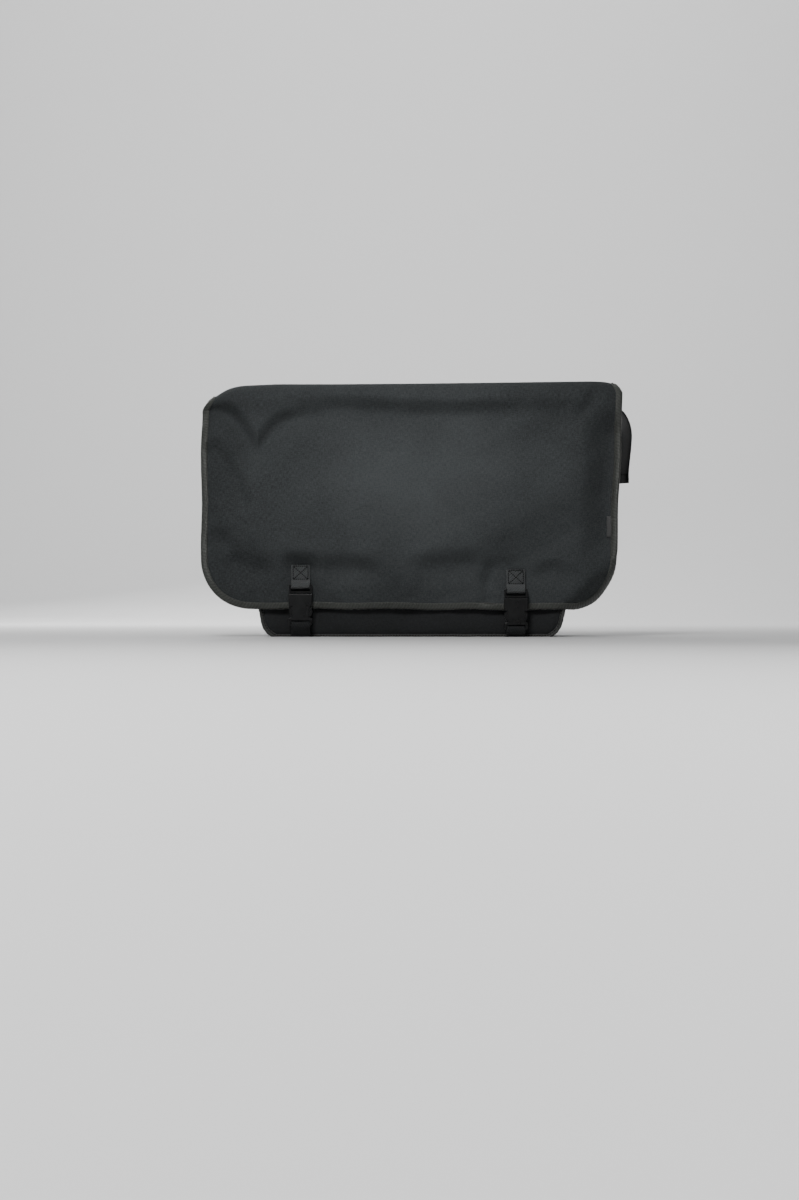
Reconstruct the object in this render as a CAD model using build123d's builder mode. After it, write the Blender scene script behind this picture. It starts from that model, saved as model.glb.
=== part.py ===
from build123d import *
import os

os.makedirs("parts", exist_ok=True)

# ---------------------------------------------------------------- dimensions (mm)
# Frame: +X to the right of someone facing the flap, the flap faces -Y, +Z up.
# The origin is on the resting plane, under the middle of the bag body.

# bag body
foot_half = 195.0          # half width at the base, before the corner radius
mouth_half = 262.0         # half width at the mouth
mouth_z = 326.0            # height of the mouth edge
base_front_y = -95.0       # front panel at the base
mouth_front_y = -80.0      # front panel at the mouth, it leans back
back_y = 95.0              # outer face of the back panel
foot_radius = 20.0         # rounding between gusset and base
panel = 2.4                # outer fabric with its stiffening layer
board = 3.0                # base board
pad = 6.0                  # foam in the back panel
lining = 1.2               # lining cloth
tape = 1.2                 # binding tape
tape_width = 7.0

# flap
flap_half = 279.0          # half width at the front edge of the top
flap_rear_half = 264.0     # half width where the flap is sewn to the back
flap_face_y = -101.2       # outer face of the hanging flap
flap_top_z = 338.2         # outer face of the top of the flap
flap_low_z = 39.6          # lower edge of the flap cloth
flap_corner = 62.0         # radius of the two lower corners
flap_cloth = 1.8
flap_lining = 1.3
flap_gap = 0.3             # between cloth and lining
fold_radius = 15.2         # outer radius of the front bend
rear_radius = 6.6          # outer radius of the rear bend
hinge_gap = 1.0            # between the two flap bodies at the front bend
edge_tape = 8.0            # binding width on the flap
edge_thick = 0.6           # binding thickness

# 25 mm side-release buckles and their webbing
tab_width = 25.0
tab_thick = 1.8
buckle_places = {"left": (-148.0, 0.0), "right": (138.0, -6.0)}
buckle_back_y = -103.5     # rear face of the socket
socket_thick = 10.0
socket_half = 15.5
socket_low_z = 14.8
socket_slot_z = 22.0       # top of the slot over the webbing bar
socket_mouth_z = 57.2
cavity_half = 12.9
cavity_low_z = 23.4
cavity_depth = 6.4
window_low_z = 24.6
window_high_z = 40.6
window_half = 11.2
bar_y = -108.5             # webbing bars of both buckle halves
lower_bar_z = 16.8
upper_bar_z = 68.2
plug_low_z = 58.2
bar_depth = 5.0
bar_height = 4.0
prong_root_z = 56.4

# shoulder strap, 32 mm webbing on a pivot line behind the top corners
strap_width = 32.0
strap_thick = 2.2
anchor_x = 215.0
pivot_y = 118.0
pivot_z = 298.0
rod = 4.5                  # ring and anchor bar diameter
loop_top_z = 150.0         # where the hanging loop begins
loop_half = 208.0
loop_drop = 142.0


def half_width(z):
    """Half width of the body at height z."""
    return foot_half + (mouth_half - foot_half) * z / mouth_z


def front_y(z):
    """Front face of the body at height z."""
    return base_front_y + (mouth_front_y - base_front_y) * z / mouth_z


def body_profile(inset, low, high, mode=Mode.ADD):
    """Body outline seen from the front, moved in by inset, rounded at its lower corners."""
    with BuildSketch(mode=Mode.PRIVATE) as outline:
        with BuildLine():
            Polyline(
                (-half_width(low) + inset, low),
                (half_width(low) - inset, low),
                (half_width(high) - inset, high),
                (-half_width(high) + inset, high),
                close=True,
            )
        make_face()
        fillet(outline.vertices().group_by(Axis.Y)[0], max(foot_radius - inset, 4.0))
    add(outline.sketch_local, mode=mode)


def body_block(side, front, back, low, high, mode=Mode.ADD):
    """Straight tapered block inside the body, moved in by side, front and back."""
    sections = []
    for z in (low, high):
        y_low = front_y(z) + front
        y_high = back_y - back
        with BuildSketch(Plane.XY.offset(z)) as section:
            with Locations((0, (y_low + y_high) / 2)):
                Rectangle(2 * (half_width(z) - side), y_high - y_low)
        sections.append(section.sketch)
    loft(sections, mode=mode)


lean = Plane(
    origin=(0, base_front_y, 0),
    x_dir=(1, 0, 0),
    z_dir=(0, -mouth_z, mouth_front_y - base_front_y),
)
mirror_x = {"left": -1, "right": 1}

# ---------------------------------------------------------------- body panels
with BuildPart() as front_panel:
    with BuildSketch(lean):
        body_profile(0.0, 0.3, mouth_z)
    extrude(amount=-panel)
front_panel.part.label = "front_panel"
export_step(front_panel.part, "parts/front_panel.step")

with BuildPart() as back_panel:
    with BuildSketch(Plane.XZ.offset(-back_y)):
        body_profile(0.0, 0.0, mouth_z)
    extrude(amount=panel)
back_panel.part.label = "back_panel"
export_step(back_panel.part, "parts/back_panel.step")

split_x = half_width(0) - foot_radius - 2.0
with BuildPart() as base_panel:
    with BuildSketch(Plane.XZ.offset(panel - back_y)):
        with Locations((0, panel / 2)):
            Rectangle(2 * split_x, panel)
    extrude(amount=back_y - base_front_y)
    split(bisect_by=lean.offset(-panel), keep=Keep.BOTTOM)
base_panel.part.label = "base_panel"
export_step(base_panel.part, "parts/base_panel.step")

for side, sign in mirror_x.items():
    with BuildPart() as gusset:
        with BuildSketch(Plane.XZ.offset(panel - back_y)):
            body_profile(0.0, 0.0, mouth_z)
            body_profile(panel, panel, mouth_z + 5.0, mode=Mode.SUBTRACT)
            Rectangle(2 * split_x, 3 * mouth_z, mode=Mode.SUBTRACT)
            with Locations((-sign * mouth_half, 0)):
                Rectangle(2 * mouth_half, 3 * mouth_z, mode=Mode.SUBTRACT)
        extrude(amount=back_y - base_front_y)
        split(bisect_by=lean.offset(-panel), keep=Keep.BOTTOM)
    gusset.part.label = f"{side}_gusset"
    export_step(gusset.part, f"parts/{side}_gusset.step")

# base board, foam pad, lining bag and slip pocket
with BuildPart() as base_board:
    with BuildSketch(Plane.XY.offset(panel + 0.2)):
        with Locations((0, (base_front_y + back_y) / 2)):
            RectangleRounded(2 * split_x, back_y - base_front_y - 2 * panel - 4.0, 12.0)
    extrude(amount=board)
base_board.part.label = "base_board"
export_step(base_board.part, "parts/base_board.step")

lining_low = panel + board + 0.4
with BuildPart() as back_pad:
    with BuildSketch(Plane.XZ.offset(panel + 0.2 - back_y)):
        body_profile(panel + 0.6, lining_low, mouth_z - 8.0)
    extrude(amount=pad)
back_pad.part.label = "back_pad"
export_step(back_pad.part, "parts/back_pad.step")

lining_back = panel + pad + 0.5
with BuildPart() as liner:
    body_block(panel + 0.6, panel + 0.6, lining_back, lining_low, mouth_z)
    fillet(liner.edges().filter_by(Axis.Y).group_by(Axis.Z)[0], foot_radius - panel - 0.6)
    offset(amount=-lining, openings=liner.faces().sort_by(Axis.Z)[-1])
liner.part.label = "liner"
export_step(liner.part, "parts/liner.step")

pocket_y = back_y - lining_back - lining
pocket_half = 112.0
pocket_low = 96.0
pocket_high = 266.0
pocket_depth = 12.0
with BuildPart() as inner_pocket:
    with BuildSketch(Plane.XZ.offset(0.1 - pocket_y)):
        with Locations((0, (pocket_low + pocket_high) / 2)):
            Rectangle(2 * pocket_half, pocket_high - pocket_low)
    extrude(amount=pocket_depth)
    with BuildSketch(Plane.XZ.offset(0.1 - pocket_y)):
        with Locations((0, (pocket_low + pocket_high) / 2 + 2.0)):
            Rectangle(2 * pocket_half - 4.0, pocket_high - pocket_low)
    extrude(amount=pocket_depth - 2.0, mode=Mode.SUBTRACT)
inner_pocket.part.label = "inner_pocket"
export_step(inner_pocket.part, "parts/inner_pocket.step")

# binding folded over the mouth edge
rim_inner = panel + 0.6 + lining + 0.2
rim_back = lining_back + lining + 0.2
with BuildPart() as mouth_binding:
    body_block(-tape - 0.2, -tape - 0.2, -tape - 0.2, mouth_z - 9.0, mouth_z + 0.2 + tape)
    body_block(-0.2, -0.2, -0.2, mouth_z - 10.0, mouth_z + 0.2, mode=Mode.SUBTRACT)
    body_block(rim_inner, rim_inner, rim_back, mouth_z - 9.0, mouth_z + 1.0)
    body_block(
        rim_inner + tape,
        rim_inner + tape,
        rim_back + tape,
        mouth_z - 10.0,
        mouth_z + 3.0,
        mode=Mode.SUBTRACT,
    )
mouth_binding.part.label = "mouth_binding"
export_step(mouth_binding.part, "parts/mouth_binding.step")

# seam tapes round the front and back panels
seam_top = mouth_z - 10.0
seams = {
    "front_seam_binding": lean.offset(0.1),
    "back_seam_binding": Plane(
        origin=(0, back_y + 0.1, 0), x_dir=(-1, 0, 0), z_dir=(0, 1, 0)
    ),
}
for name, plane in seams.items():
    with BuildPart() as seam:
        with BuildSketch(plane):
            body_profile(0.0, 0.4, seam_top)
            body_profile(tape_width, tape_width, seam_top + 20.0, mode=Mode.SUBTRACT)
        extrude(amount=tape)
    seam.part.label = name
    export_step(seam.part, f"parts/{name}.step")

# ---------------------------------------------------------------- flap
flap_bend_y = flap_face_y + fold_radius
flap_bend_z = flap_top_z - fold_radius
rear_bend_y = 91.0
rear_bend_z = flap_top_z - rear_radius


def top_half(y):
    """Half width of the top of the flap at depth y."""
    share = (y - flap_bend_y) / (rear_bend_y - flap_bend_y)
    return flap_half + (flap_rear_half - flap_half) * share


def top_sheet(low, high, trim=0.0, mode=Mode.ADD):
    """Flat top of the flap between two heights, trimmed in at its two sides."""
    y0 = flap_bend_y + hinge_gap
    with BuildSketch(Plane.XY.offset(low)) as sheet:
        with BuildLine():
            Polyline(
                (-top_half(y0) + trim, y0),
                (top_half(y0) - trim, y0),
                (top_half(rear_bend_y) - trim, rear_bend_y),
                (-top_half(rear_bend_y) + trim, rear_bend_y),
                close=True,
            )
        make_face()
    extrude(sheet.sketch, amount=high - low, mode=mode)


def rear_bend(outer, inner, trim=0.0, mode=Mode.ADD):
    """Quarter bend at the back of the flap, between two radii."""
    with BuildSketch(Plane.YZ) as bend:
        with Locations((rear_bend_y, rear_bend_z)):
            Circle(outer)
            Circle(inner, mode=Mode.SUBTRACT)
            with Locations((outer / 2, outer / 2)):
                Rectangle(outer, outer, mode=Mode.INTERSECT)
    extrude(bend.sketch, amount=flap_rear_half - trim, both=True, mode=mode)


lining_top = flap_top_z - flap_cloth - flap_gap
with BuildPart() as flap_top_panel:
    top_sheet(flap_top_z - flap_cloth, flap_top_z)
    rear_bend(rear_radius, rear_radius - flap_cloth)
flap_top_panel.part.label = "flap_top_panel"
export_step(flap_top_panel.part, "parts/flap_top_panel.step")

with BuildPart() as flap_top_lining:
    top_sheet(lining_top - flap_lining, lining_top, trim=1.0)
    r_lining = rear_radius - flap_cloth - flap_gap
    rear_bend(r_lining, r_lining - flap_lining, trim=1.0)
flap_top_lining.part.label = "flap_top_lining"
export_step(flap_top_lining.part, "parts/flap_top_lining.step")

stack = flap_cloth + flap_gap + flap_lining
for side, sign in mirror_x.items():
    with BuildPart() as top_edge:
        top_sheet(flap_top_z - stack - edge_thick - 0.1, flap_top_z + edge_thick + 0.1, -1.0)
        top_sheet(flap_top_z - stack - 0.1, flap_top_z + 0.1, -0.2, mode=Mode.SUBTRACT)
        top_sheet(flap_top_z - 10.0, flap_top_z + 10.0, edge_tape, mode=Mode.SUBTRACT)
        split(bisect_by=Plane.YZ, keep=Keep.TOP if sign > 0 else Keep.BOTTOM)
    top_edge.part.label = f"flap_top_{side}_binding"
    export_step(top_edge.part, f"parts/flap_top_{side}_binding.step")


def front_outline(trim, top):
    """Outline of the hanging flap, trimmed in by trim, up to the given height."""
    with BuildSketch(mode=Mode.PRIVATE) as outline:
        with Locations((0, (top + flap_low_z + trim) / 2)):
            Rectangle(2 * (flap_half - trim), top - flap_low_z - trim)
        fillet(outline.vertices().group_by(Axis.Y)[0], flap_corner - trim)
    add(outline.sketch_local)


def front_bend(outer, inner, half, mode=Mode.ADD):
    """Quarter bend at the front of the flap, between two radii."""
    with BuildSketch(Plane.YZ) as bend:
        with Locations((flap_bend_y, flap_bend_z)):
            Circle(outer)
            Circle(inner, mode=Mode.SUBTRACT)
            with Locations((-outer / 2, outer / 2)):
                Rectangle(outer, outer, mode=Mode.INTERSECT)
    extrude(bend.sketch, amount=half, both=True, mode=mode)


with BuildPart() as flap_front_panel:
    with BuildSketch(Plane.XZ.offset(-flap_face_y - flap_cloth)):
        front_outline(0.0, flap_bend_z)
    extrude(amount=flap_cloth)
    front_bend(fold_radius, fold_radius - flap_cloth, flap_half)
flap_front_panel.part.label = "flap_front_panel"
export_step(flap_front_panel.part, "parts/flap_front_panel.step")

r_front = fold_radius - flap_cloth - flap_gap
with BuildPart() as flap_front_lining:
    with BuildSketch(Plane.XZ.offset(-flap_face_y - stack)):
        front_outline(1.0, flap_bend_z)
    extrude(amount=flap_lining)
    front_bend(r_front, r_front - flap_lining, flap_half - 1.0)
flap_front_lining.part.label = "flap_front_lining"
export_step(flap_front_lining.part, "parts/flap_front_lining.step")

# one tape folded over the two sides and the lower edge of the hanging flap
with BuildPart() as flap_front_binding:
    with BuildSketch(Plane.XZ.offset(-flap_face_y - stack - edge_thick - 0.1)):
        front_outline(-1.0, flap_bend_z)
    extrude(amount=stack + 2 * edge_thick + 0.2)
    front_bend(fold_radius + edge_thick + 0.1, fold_radius - stack - edge_thick - 0.1, flap_half + 1.0)
    with BuildSketch(Plane.XZ.offset(-flap_face_y - stack - 0.1)):
        front_outline(-0.2, flap_bend_z)
    extrude(amount=stack + 0.2, mode=Mode.SUBTRACT)
    front_bend(
        fold_radius + 0.1,
        fold_radius - stack - 0.1,
        flap_half + 0.2,
        mode=Mode.SUBTRACT,
    )
    with BuildSketch(Plane.XZ.offset(60.0)):
        front_outline(edge_tape, flap_top_z + 20.0)
    extrude(amount=60.0, mode=Mode.SUBTRACT)
flap_front_binding.part.label = "flap_front_binding"
export_step(flap_front_binding.part, "parts/flap_front_binding.step")

# small blank tag sewn beside the right binding
with BuildPart() as side_label:
    with BuildSketch(Plane.XZ.offset(-flap_face_y + 0.1)):
        with Locations((263.5, 147.0)):
            Rectangle(7.0, 28.0)
    extrude(amount=0.7)
side_label.part.label = "side_label"
export_step(side_label.part, "parts/side_label.step")

# ---------------------------------------------------------------- buckles
def front_face(cx, y, dz):
    """Plane facing the front at depth y, with its origin under one buckle."""
    return Plane(origin=(cx, y, dz), x_dir=(1, 0, 0), z_dir=(0, -1, 0))


for side, (cx, dz) in buckle_places.items():
    # webbing tab sewn to the flap, folded round the bar of the plug
    with BuildPart() as flap_tab:
        with BuildSketch(Plane(origin=(cx, 0, dz), x_dir=(0, 1, 0), z_dir=(1, 0, 0))):
            with BuildLine():
                Polyline(
                    (flap_face_y - 0.2, 96.0),
                    (flap_face_y - 0.2 - 2 * tab_thick, 96.0),
                    (flap_face_y - 0.2 - 2 * tab_thick, 75.0),
                    (bar_y - bar_depth / 2 - 0.3 - tab_thick, upper_bar_z + 2.0),
                    (bar_y - bar_depth / 2 - 0.3 - tab_thick, upper_bar_z - 3.0),
                    (bar_y - 1.5, upper_bar_z - bar_height / 2 - 0.3 - tab_thick),
                    (bar_y + 1.5, upper_bar_z - bar_height / 2 - 0.3 - tab_thick),
                    (bar_y + bar_depth / 2 + 0.3 + tab_thick, upper_bar_z - 3.0),
                    (flap_face_y - 0.2, 72.0),
                    close=True,
                )
            make_face()
            with Locations((bar_y, upper_bar_z)):
                Rectangle(bar_depth + 0.5, bar_height + 0.5, mode=Mode.SUBTRACT)
        extrude(amount=tab_width / 2, both=True)
    flap_tab.part.label = f"{side}_flap_tab"
    export_step(flap_tab.part, f"parts/{side}_flap_tab.step")

    # webbing sewn into the base seam, folded round the bar of the socket
    with BuildPart() as base_strap:
        with BuildSketch(Plane(origin=(cx, 0, dz), x_dir=(0, 1, 0), z_dir=(1, 0, 0))):
            with BuildLine():
                Polyline(
                    (bar_y - 1.5, lower_bar_z + bar_height / 2 + 0.3 + tab_thick),
                    (bar_y + 1.5, lower_bar_z + bar_height / 2 + 0.3 + tab_thick),
                    (bar_y + bar_depth / 2 + 0.3 + tab_thick, lower_bar_z + 2.6),
                    (bar_y + bar_depth / 2 + 0.3 + tab_thick, lower_bar_z - 3.0),
                    (base_front_y - 1.6, 8.0 - dz),
                    (base_front_y - 1.6, 1.0 - dz),
                    (base_front_y - 1.6 - 2 * tab_thick, 1.0 - dz),
                    (base_front_y - 2.4 - 2 * tab_thick, 5.0 - dz),
                    (bar_y - bar_depth / 2 - 0.3 - tab_thick, lower_bar_z - 4.0),
                    (bar_y - bar_depth / 2 - 0.3 - tab_thick, lower_bar_z + 2.6),
                    close=True,
                )
            make_face()
            with Locations((bar_y, lower_bar_z)):
                Rectangle(bar_depth + 0.5, bar_height + 0.5, mode=Mode.SUBTRACT)
        extrude(amount=tab_width / 2, both=True)
    base_strap.part.label = f"{side}_base_strap"
    export_step(base_strap.part, f"parts/{side}_base_strap.step")

    # socket half, a flat sleeve open at its mouth and at both sides
    with BuildPart() as socket:
        with BuildSketch(front_face(cx, buckle_back_y, dz)) as outline:
            with BuildLine():
                Polyline(
                    (-socket_half, socket_low_z),
                    (socket_half, socket_low_z),
                    (socket_half, window_low_z),
                    (window_half + 1.0, window_low_z + 1.2),
                    (window_half, window_low_z + 6.0),
                    (window_half + 0.6, window_high_z - 0.6),
                    (socket_half, window_high_z),
                    (socket_half, socket_mouth_z),
                    (-socket_half, socket_mouth_z),
                    (-socket_half, window_high_z),
                    (-window_half - 0.6, window_high_z - 0.6),
                    (-window_half, window_low_z + 6.0),
                    (-window_half - 1.0, window_low_z + 1.2),
                    (-socket_half, window_low_z),
                    close=True,
                )
            make_face()
            corners = outline.vertices().group_by(Axis.Y)
            fillet(corners[0], 4.0)
            fillet(corners[-1], 1.5)
        extrude(amount=socket_thick)
        around = socket.faces().sort_by(Axis.Y)
        fillet(around[0].edges() + around[-1].edges(), 1.0)
        with BuildSketch(front_face(cx, buckle_back_y - (socket_thick - cavity_depth) / 2, dz)):
            with Locations((0, (cavity_low_z + socket_mouth_z + 1.0) / 2)):
                Rectangle(2 * cavity_half, socket_mouth_z + 1.0 - cavity_low_z)
        extrude(amount=cavity_depth, mode=Mode.SUBTRACT)
        # slot over the webbing bar, and the bar thinned to its own depth
        with BuildSketch(front_face(cx, buckle_back_y + 1.0, dz)):
            with Locations((0, (lower_bar_z + bar_height / 2 + socket_slot_z) / 2)):
                Rectangle(tab_width + 1.4, socket_slot_z - lower_bar_z - bar_height / 2)
        extrude(amount=socket_thick + 2.0, mode=Mode.SUBTRACT)
        for y, depth in (
            (buckle_back_y + 1.0, buckle_back_y + 1.0 - (bar_y + bar_depth / 2)),
            (bar_y - bar_depth / 2, socket_thick),
        ):
            with BuildSketch(front_face(cx, y, dz)):
                with Locations((0, lower_bar_z)):
                    Rectangle(tab_width + 1.4, 2 * (socket_slot_z - lower_bar_z))
            extrude(amount=depth, mode=Mode.SUBTRACT)
    socket.part.label = f"{side}_buckle_socket"
    export_step(socket.part, f"parts/{side}_buckle_socket.step")

    # plug half: bar, shoulders, tongue and centre guide
    guide_depth = 5.2
    guide_low_z = 30.0
    with BuildPart() as plug:
        with BuildSketch(front_face(cx, buckle_back_y - 0.4, dz)) as outline:
            with Locations((0, (plug_low_z + upper_bar_z + bar_height / 2) / 2)):
                RectangleRounded(
                    2 * socket_half, upper_bar_z + bar_height / 2 - plug_low_z, 2.5
                )
        extrude(amount=socket_thick - 0.8)
        around = plug.faces().sort_by(Axis.Y)
        fillet(around[0].edges() + around[-1].edges(), 1.0)
        with BuildSketch(front_face(cx, buckle_back_y + 1.0, dz)):
            with Locations((0, (plug_low_z + 2.4 + upper_bar_z - bar_height / 2) / 2)):
                Rectangle(tab_width + 1.4, upper_bar_z - bar_height / 2 - plug_low_z - 2.4)
        extrude(amount=socket_thick + 2.0, mode=Mode.SUBTRACT)
        for y, depth in (
            (buckle_back_y + 1.0, buckle_back_y + 1.0 - (bar_y + bar_depth / 2)),
            (bar_y - bar_depth / 2, socket_thick),
        ):
            with BuildSketch(front_face(cx, y, dz)):
                with Locations((0, upper_bar_z)):
                    Rectangle(tab_width + 1.4, 2 * (upper_bar_z - plug_low_z - 2.4))
            extrude(amount=depth, mode=Mode.SUBTRACT)
        with BuildSketch(front_face(cx, bar_y + guide_depth / 2, dz)):
            with Locations((0, plug_low_z - 0.1)):
                Rectangle(24.0, 1.4)
            with Locations((0, (plug_low_z + 0.4 + guide_low_z) / 2)):
                RectangleRounded(5.0, plug_low_z + 0.4 - guide_low_z, 1.6)
        extrude(amount=guide_depth)
    plug.part.label = f"{side}_buckle_plug"
    export_step(plug.part, f"parts/{side}_buckle_plug.step")

    # two sprung prongs, each with a head that fills its side window
    for prong_side, sign in mirror_x.items():
        with BuildPart() as prong:
            with BuildSketch(front_face(cx, bar_y + guide_depth / 2, dz)) as outline:
                with BuildLine():
                    Polyline(
                        (sign * 8.2, prong_root_z + 0.3),
                        (sign * 11.0, prong_root_z + 0.3),
                        (sign * 11.4, window_high_z - 1.2),
                        (sign * 15.2, window_high_z - 2.6),
                        (sign * 15.6, window_high_z - 8.0),
                        (sign * 12.2, window_low_z + 1.0),
                        (sign * 9.6, window_low_z - 0.4),
                        (sign * 8.4, window_low_z + 3.0),
                        close=True,
                    )
                make_face()
                fillet(outline.vertices(), 0.5)
            extrude(amount=guide_depth)
        prong.part.label = f"{side}_buckle_{prong_side}_prong"
        export_step(prong.part, f"parts/{side}_buckle_{prong_side}_prong.step")

# ---------------------------------------------------------------- shoulder strap
loop_radius = rod / 2 + 0.4 + 2.0
for side, sign in mirror_x.items():
    # reinforcing patch on the back panel, under the anchor webbing
    with BuildPart() as patch:
        with BuildSketch(Plane.XZ.offset(-back_y - 1.2)):
            with Locations((sign * anchor_x, 262.0)):
                RectangleRounded(strap_width + 8.0, 60.0, 3.0)
        extrude(amount=1.0)
    patch.part.label = f"{side}_anchor_patch"
    export_step(patch.part, f"parts/{side}_anchor_patch.step")

    # doubled webbing sewn to the patch, looped round the pivot bar
    with BuildPart() as anchor:
        with BuildSketch(Plane.YZ.offset(sign * anchor_x)):
            with BuildLine():
                Polyline(
                    (back_y + 1.4, 242.0),
                    (back_y + 1.4, 276.0),
                    (pivot_y - 0.72 * loop_radius, pivot_z + 0.69 * loop_radius),
                    (pivot_y + 0.72 * loop_radius, pivot_z - 0.69 * loop_radius),
                    (back_y + 5.4, 271.0),
                    (back_y + 5.4, 242.0),
                    close=True,
                )
            make_face()
            with Locations((pivot_y, pivot_z)):
                Circle(loop_radius)
                Circle(rod / 2 + 0.4, mode=Mode.SUBTRACT)
        extrude(amount=strap_width / 2, both=True)
    anchor.part.label = f"{side}_strap_anchor"
    export_step(anchor.part, f"parts/{side}_strap_anchor.step")

ring_half = strap_width / 2 + 1.4 + rod / 2
ring_drop = 24.0
with BuildPart() as strap_ring:
    with BuildLine(Plane(origin=(-anchor_x, pivot_y, pivot_z), x_dir=(1, 0, 0), z_dir=(0, -1, 0))):
        ring_path = FilletPolyline(
            (ring_half, 0),
            (ring_half, -ring_drop),
            (-ring_half, -ring_drop),
            (-ring_half, 0),
            radius=3.2,
            close=True,
        )
    with BuildSketch(Plane(origin=ring_path @ 0, z_dir=ring_path % 0)):
        Circle(rod / 2)
    sweep(path=ring_path)
strap_ring.part.label = "strap_ring"
export_step(strap_ring.part, "parts/strap_ring.step")

cheek_gap = strap_width / 2 + 0.6
cheek = 2.5
pin_y = pivot_y + 3.0
pin_z = 276.0
pin_d = 3.0
with BuildPart() as cam_frame:
    for start in (anchor_x - cheek_gap - cheek, anchor_x + cheek_gap):
        with BuildSketch(Plane.YZ.offset(start)):
            with Locations((pivot_y + 1.0, 279.0)):
                RectangleRounded(13.0, 45.0, 4.0)
            with Locations((pin_y, pin_z)):
                Circle(pin_d / 2 + 0.02, mode=Mode.SUBTRACT)
        extrude(amount=cheek)
    with BuildSketch(Plane.YZ.offset(anchor_x)):
        with Locations((pivot_y, pivot_z)):
            Circle(rod / 2)
        with Locations((pivot_y - 4.2, 270.0)):
            Rectangle(2.2, 18.0)
    extrude(amount=cheek_gap + 0.5, both=True)
cam_frame.part.label = "cam_frame"
export_step(cam_frame.part, "parts/cam_frame.step")

with BuildPart() as cam_pin:
    with BuildSketch(Plane.YZ.offset(anchor_x)):
        with Locations((pin_y, pin_z)):
            Circle(pin_d / 2)
    extrude(amount=cheek_gap + cheek + 0.1, both=True)
    for start in (anchor_x - cheek_gap - cheek - 0.9, anchor_x + cheek_gap + cheek + 0.1):
        with BuildSketch(Plane.YZ.offset(start)):
            with Locations((pin_y, pin_z)):
                Circle(2.4)
        extrude(amount=0.8)
cam_pin.part.label = "cam_pin"
export_step(cam_pin.part, "parts/cam_pin.step")

with BuildPart() as cam_lever:
    with BuildSketch(Plane.YZ.offset(anchor_x)):
        with Locations((pin_y, pin_z)):
            Circle(3.0)
        with BuildLine():
            Polyline(
                (pin_y - 0.6, pin_z + 1.0),
                (pin_y + 2.8, pin_z + 1.0),
                (pin_y + 5.4, pin_z - 22.0),
                (pin_y + 4.4, pin_z - 25.0),
                (pin_y + 2.0, pin_z - 22.0),
                close=True,
            )
        make_face()
        with BuildLine():
            Polyline(
                (pin_y - 1.0, pin_z + 2.0),
                (pin_y - 3.1, pin_z - 0.4),
                (pin_y - 3.1, pin_z - 1.0),
                (pin_y - 1.0, pin_z - 2.6),
                close=True,
            )
        make_face()
        with Locations((pin_y, pin_z)):
            Circle(pin_d / 2 + 0.05, mode=Mode.SUBTRACT)
    extrude(amount=strap_width / 2, both=True)
cam_lever.part.label = "cam_lever"
export_step(cam_lever.part, "parts/cam_lever.step")

# webbing: a folded end on the ring, a quarter twist down each leg, and a hanging loop
twist_top_z = 236.0
twist_steps = 6
twist_drop = (twist_top_z - loop_top_z) / twist_steps
leg_y = pivot_y - 1.6
loop_y = pivot_y
with BuildPart() as shoulder_strap:
    # folded end round the lower bar of the ring
    with BuildSketch(Plane.YZ.offset(-anchor_x)):
        with Locations((pivot_y, pivot_z - ring_drop)):
            Circle(rod / 2 + 0.3 + strap_thick)
        with BuildLine():
            Polyline(
                (pivot_y - rod / 2 - 0.3 - strap_thick, pivot_z - ring_drop),
                (pivot_y + rod / 2 + 0.3 + strap_thick, pivot_z - ring_drop),
                (leg_y + 1.5 * strap_thick, pivot_z - ring_drop - 12.0),
                (leg_y + 1.5 * strap_thick, twist_top_z + 4.0),
                (leg_y + 0.5 * strap_thick, twist_top_z + 4.0),
                (leg_y + 0.5 * strap_thick, twist_top_z),
                (leg_y - 0.5 * strap_thick, twist_top_z),
                (leg_y - 0.5 * strap_thick, pivot_z - ring_drop - 12.0),
                close=True,
            )
        make_face()
        with Locations((pivot_y, pivot_z - ring_drop)):
            Circle(rod / 2 + 0.3, mode=Mode.SUBTRACT)
    extrude(amount=strap_width / 2, both=True)
    # straight run into the adjuster, over its base plate
    with BuildSketch(Plane.YZ.offset(anchor_x)):
        with Locations((leg_y, (twist_top_z + 283.0) / 2)):
            Rectangle(strap_thick, 283.0 - twist_top_z)
    extrude(amount=strap_width / 2, both=True)
    # quarter twists
    for sign in (-1, 1):
        for step in range(twist_steps):
            for end in (step, step + 1):
                share = end / twist_steps
                x = sign * (anchor_x + (loop_half - anchor_x) * share)
                y = leg_y + (loop_y - leg_y) * share
                with BuildSketch(Plane.XY.offset(twist_top_z - end * twist_drop)):
                    with Locations((x, y)):
                        Rectangle(strap_width, strap_thick, rotation=90.0 * share)
            loft(ruled=True)
    # hanging loop
    with BuildSketch(Plane.XZ.offset(-loop_y - strap_width / 2)):
        with Locations((0, loop_top_z)):
            Ellipse(loop_half + strap_thick / 2, loop_drop + strap_thick / 2)
            Ellipse(
                loop_half - strap_thick / 2,
                loop_drop - strap_thick / 2,
                mode=Mode.SUBTRACT,
            )
            with Locations((0, 150.0)):
                Rectangle(600.0, 300.0, mode=Mode.SUBTRACT)
    extrude(amount=strap_width)
shoulder_strap.part.label = "shoulder_strap"
export_step(shoulder_strap.part, "parts/shoulder_strap.step")

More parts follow.
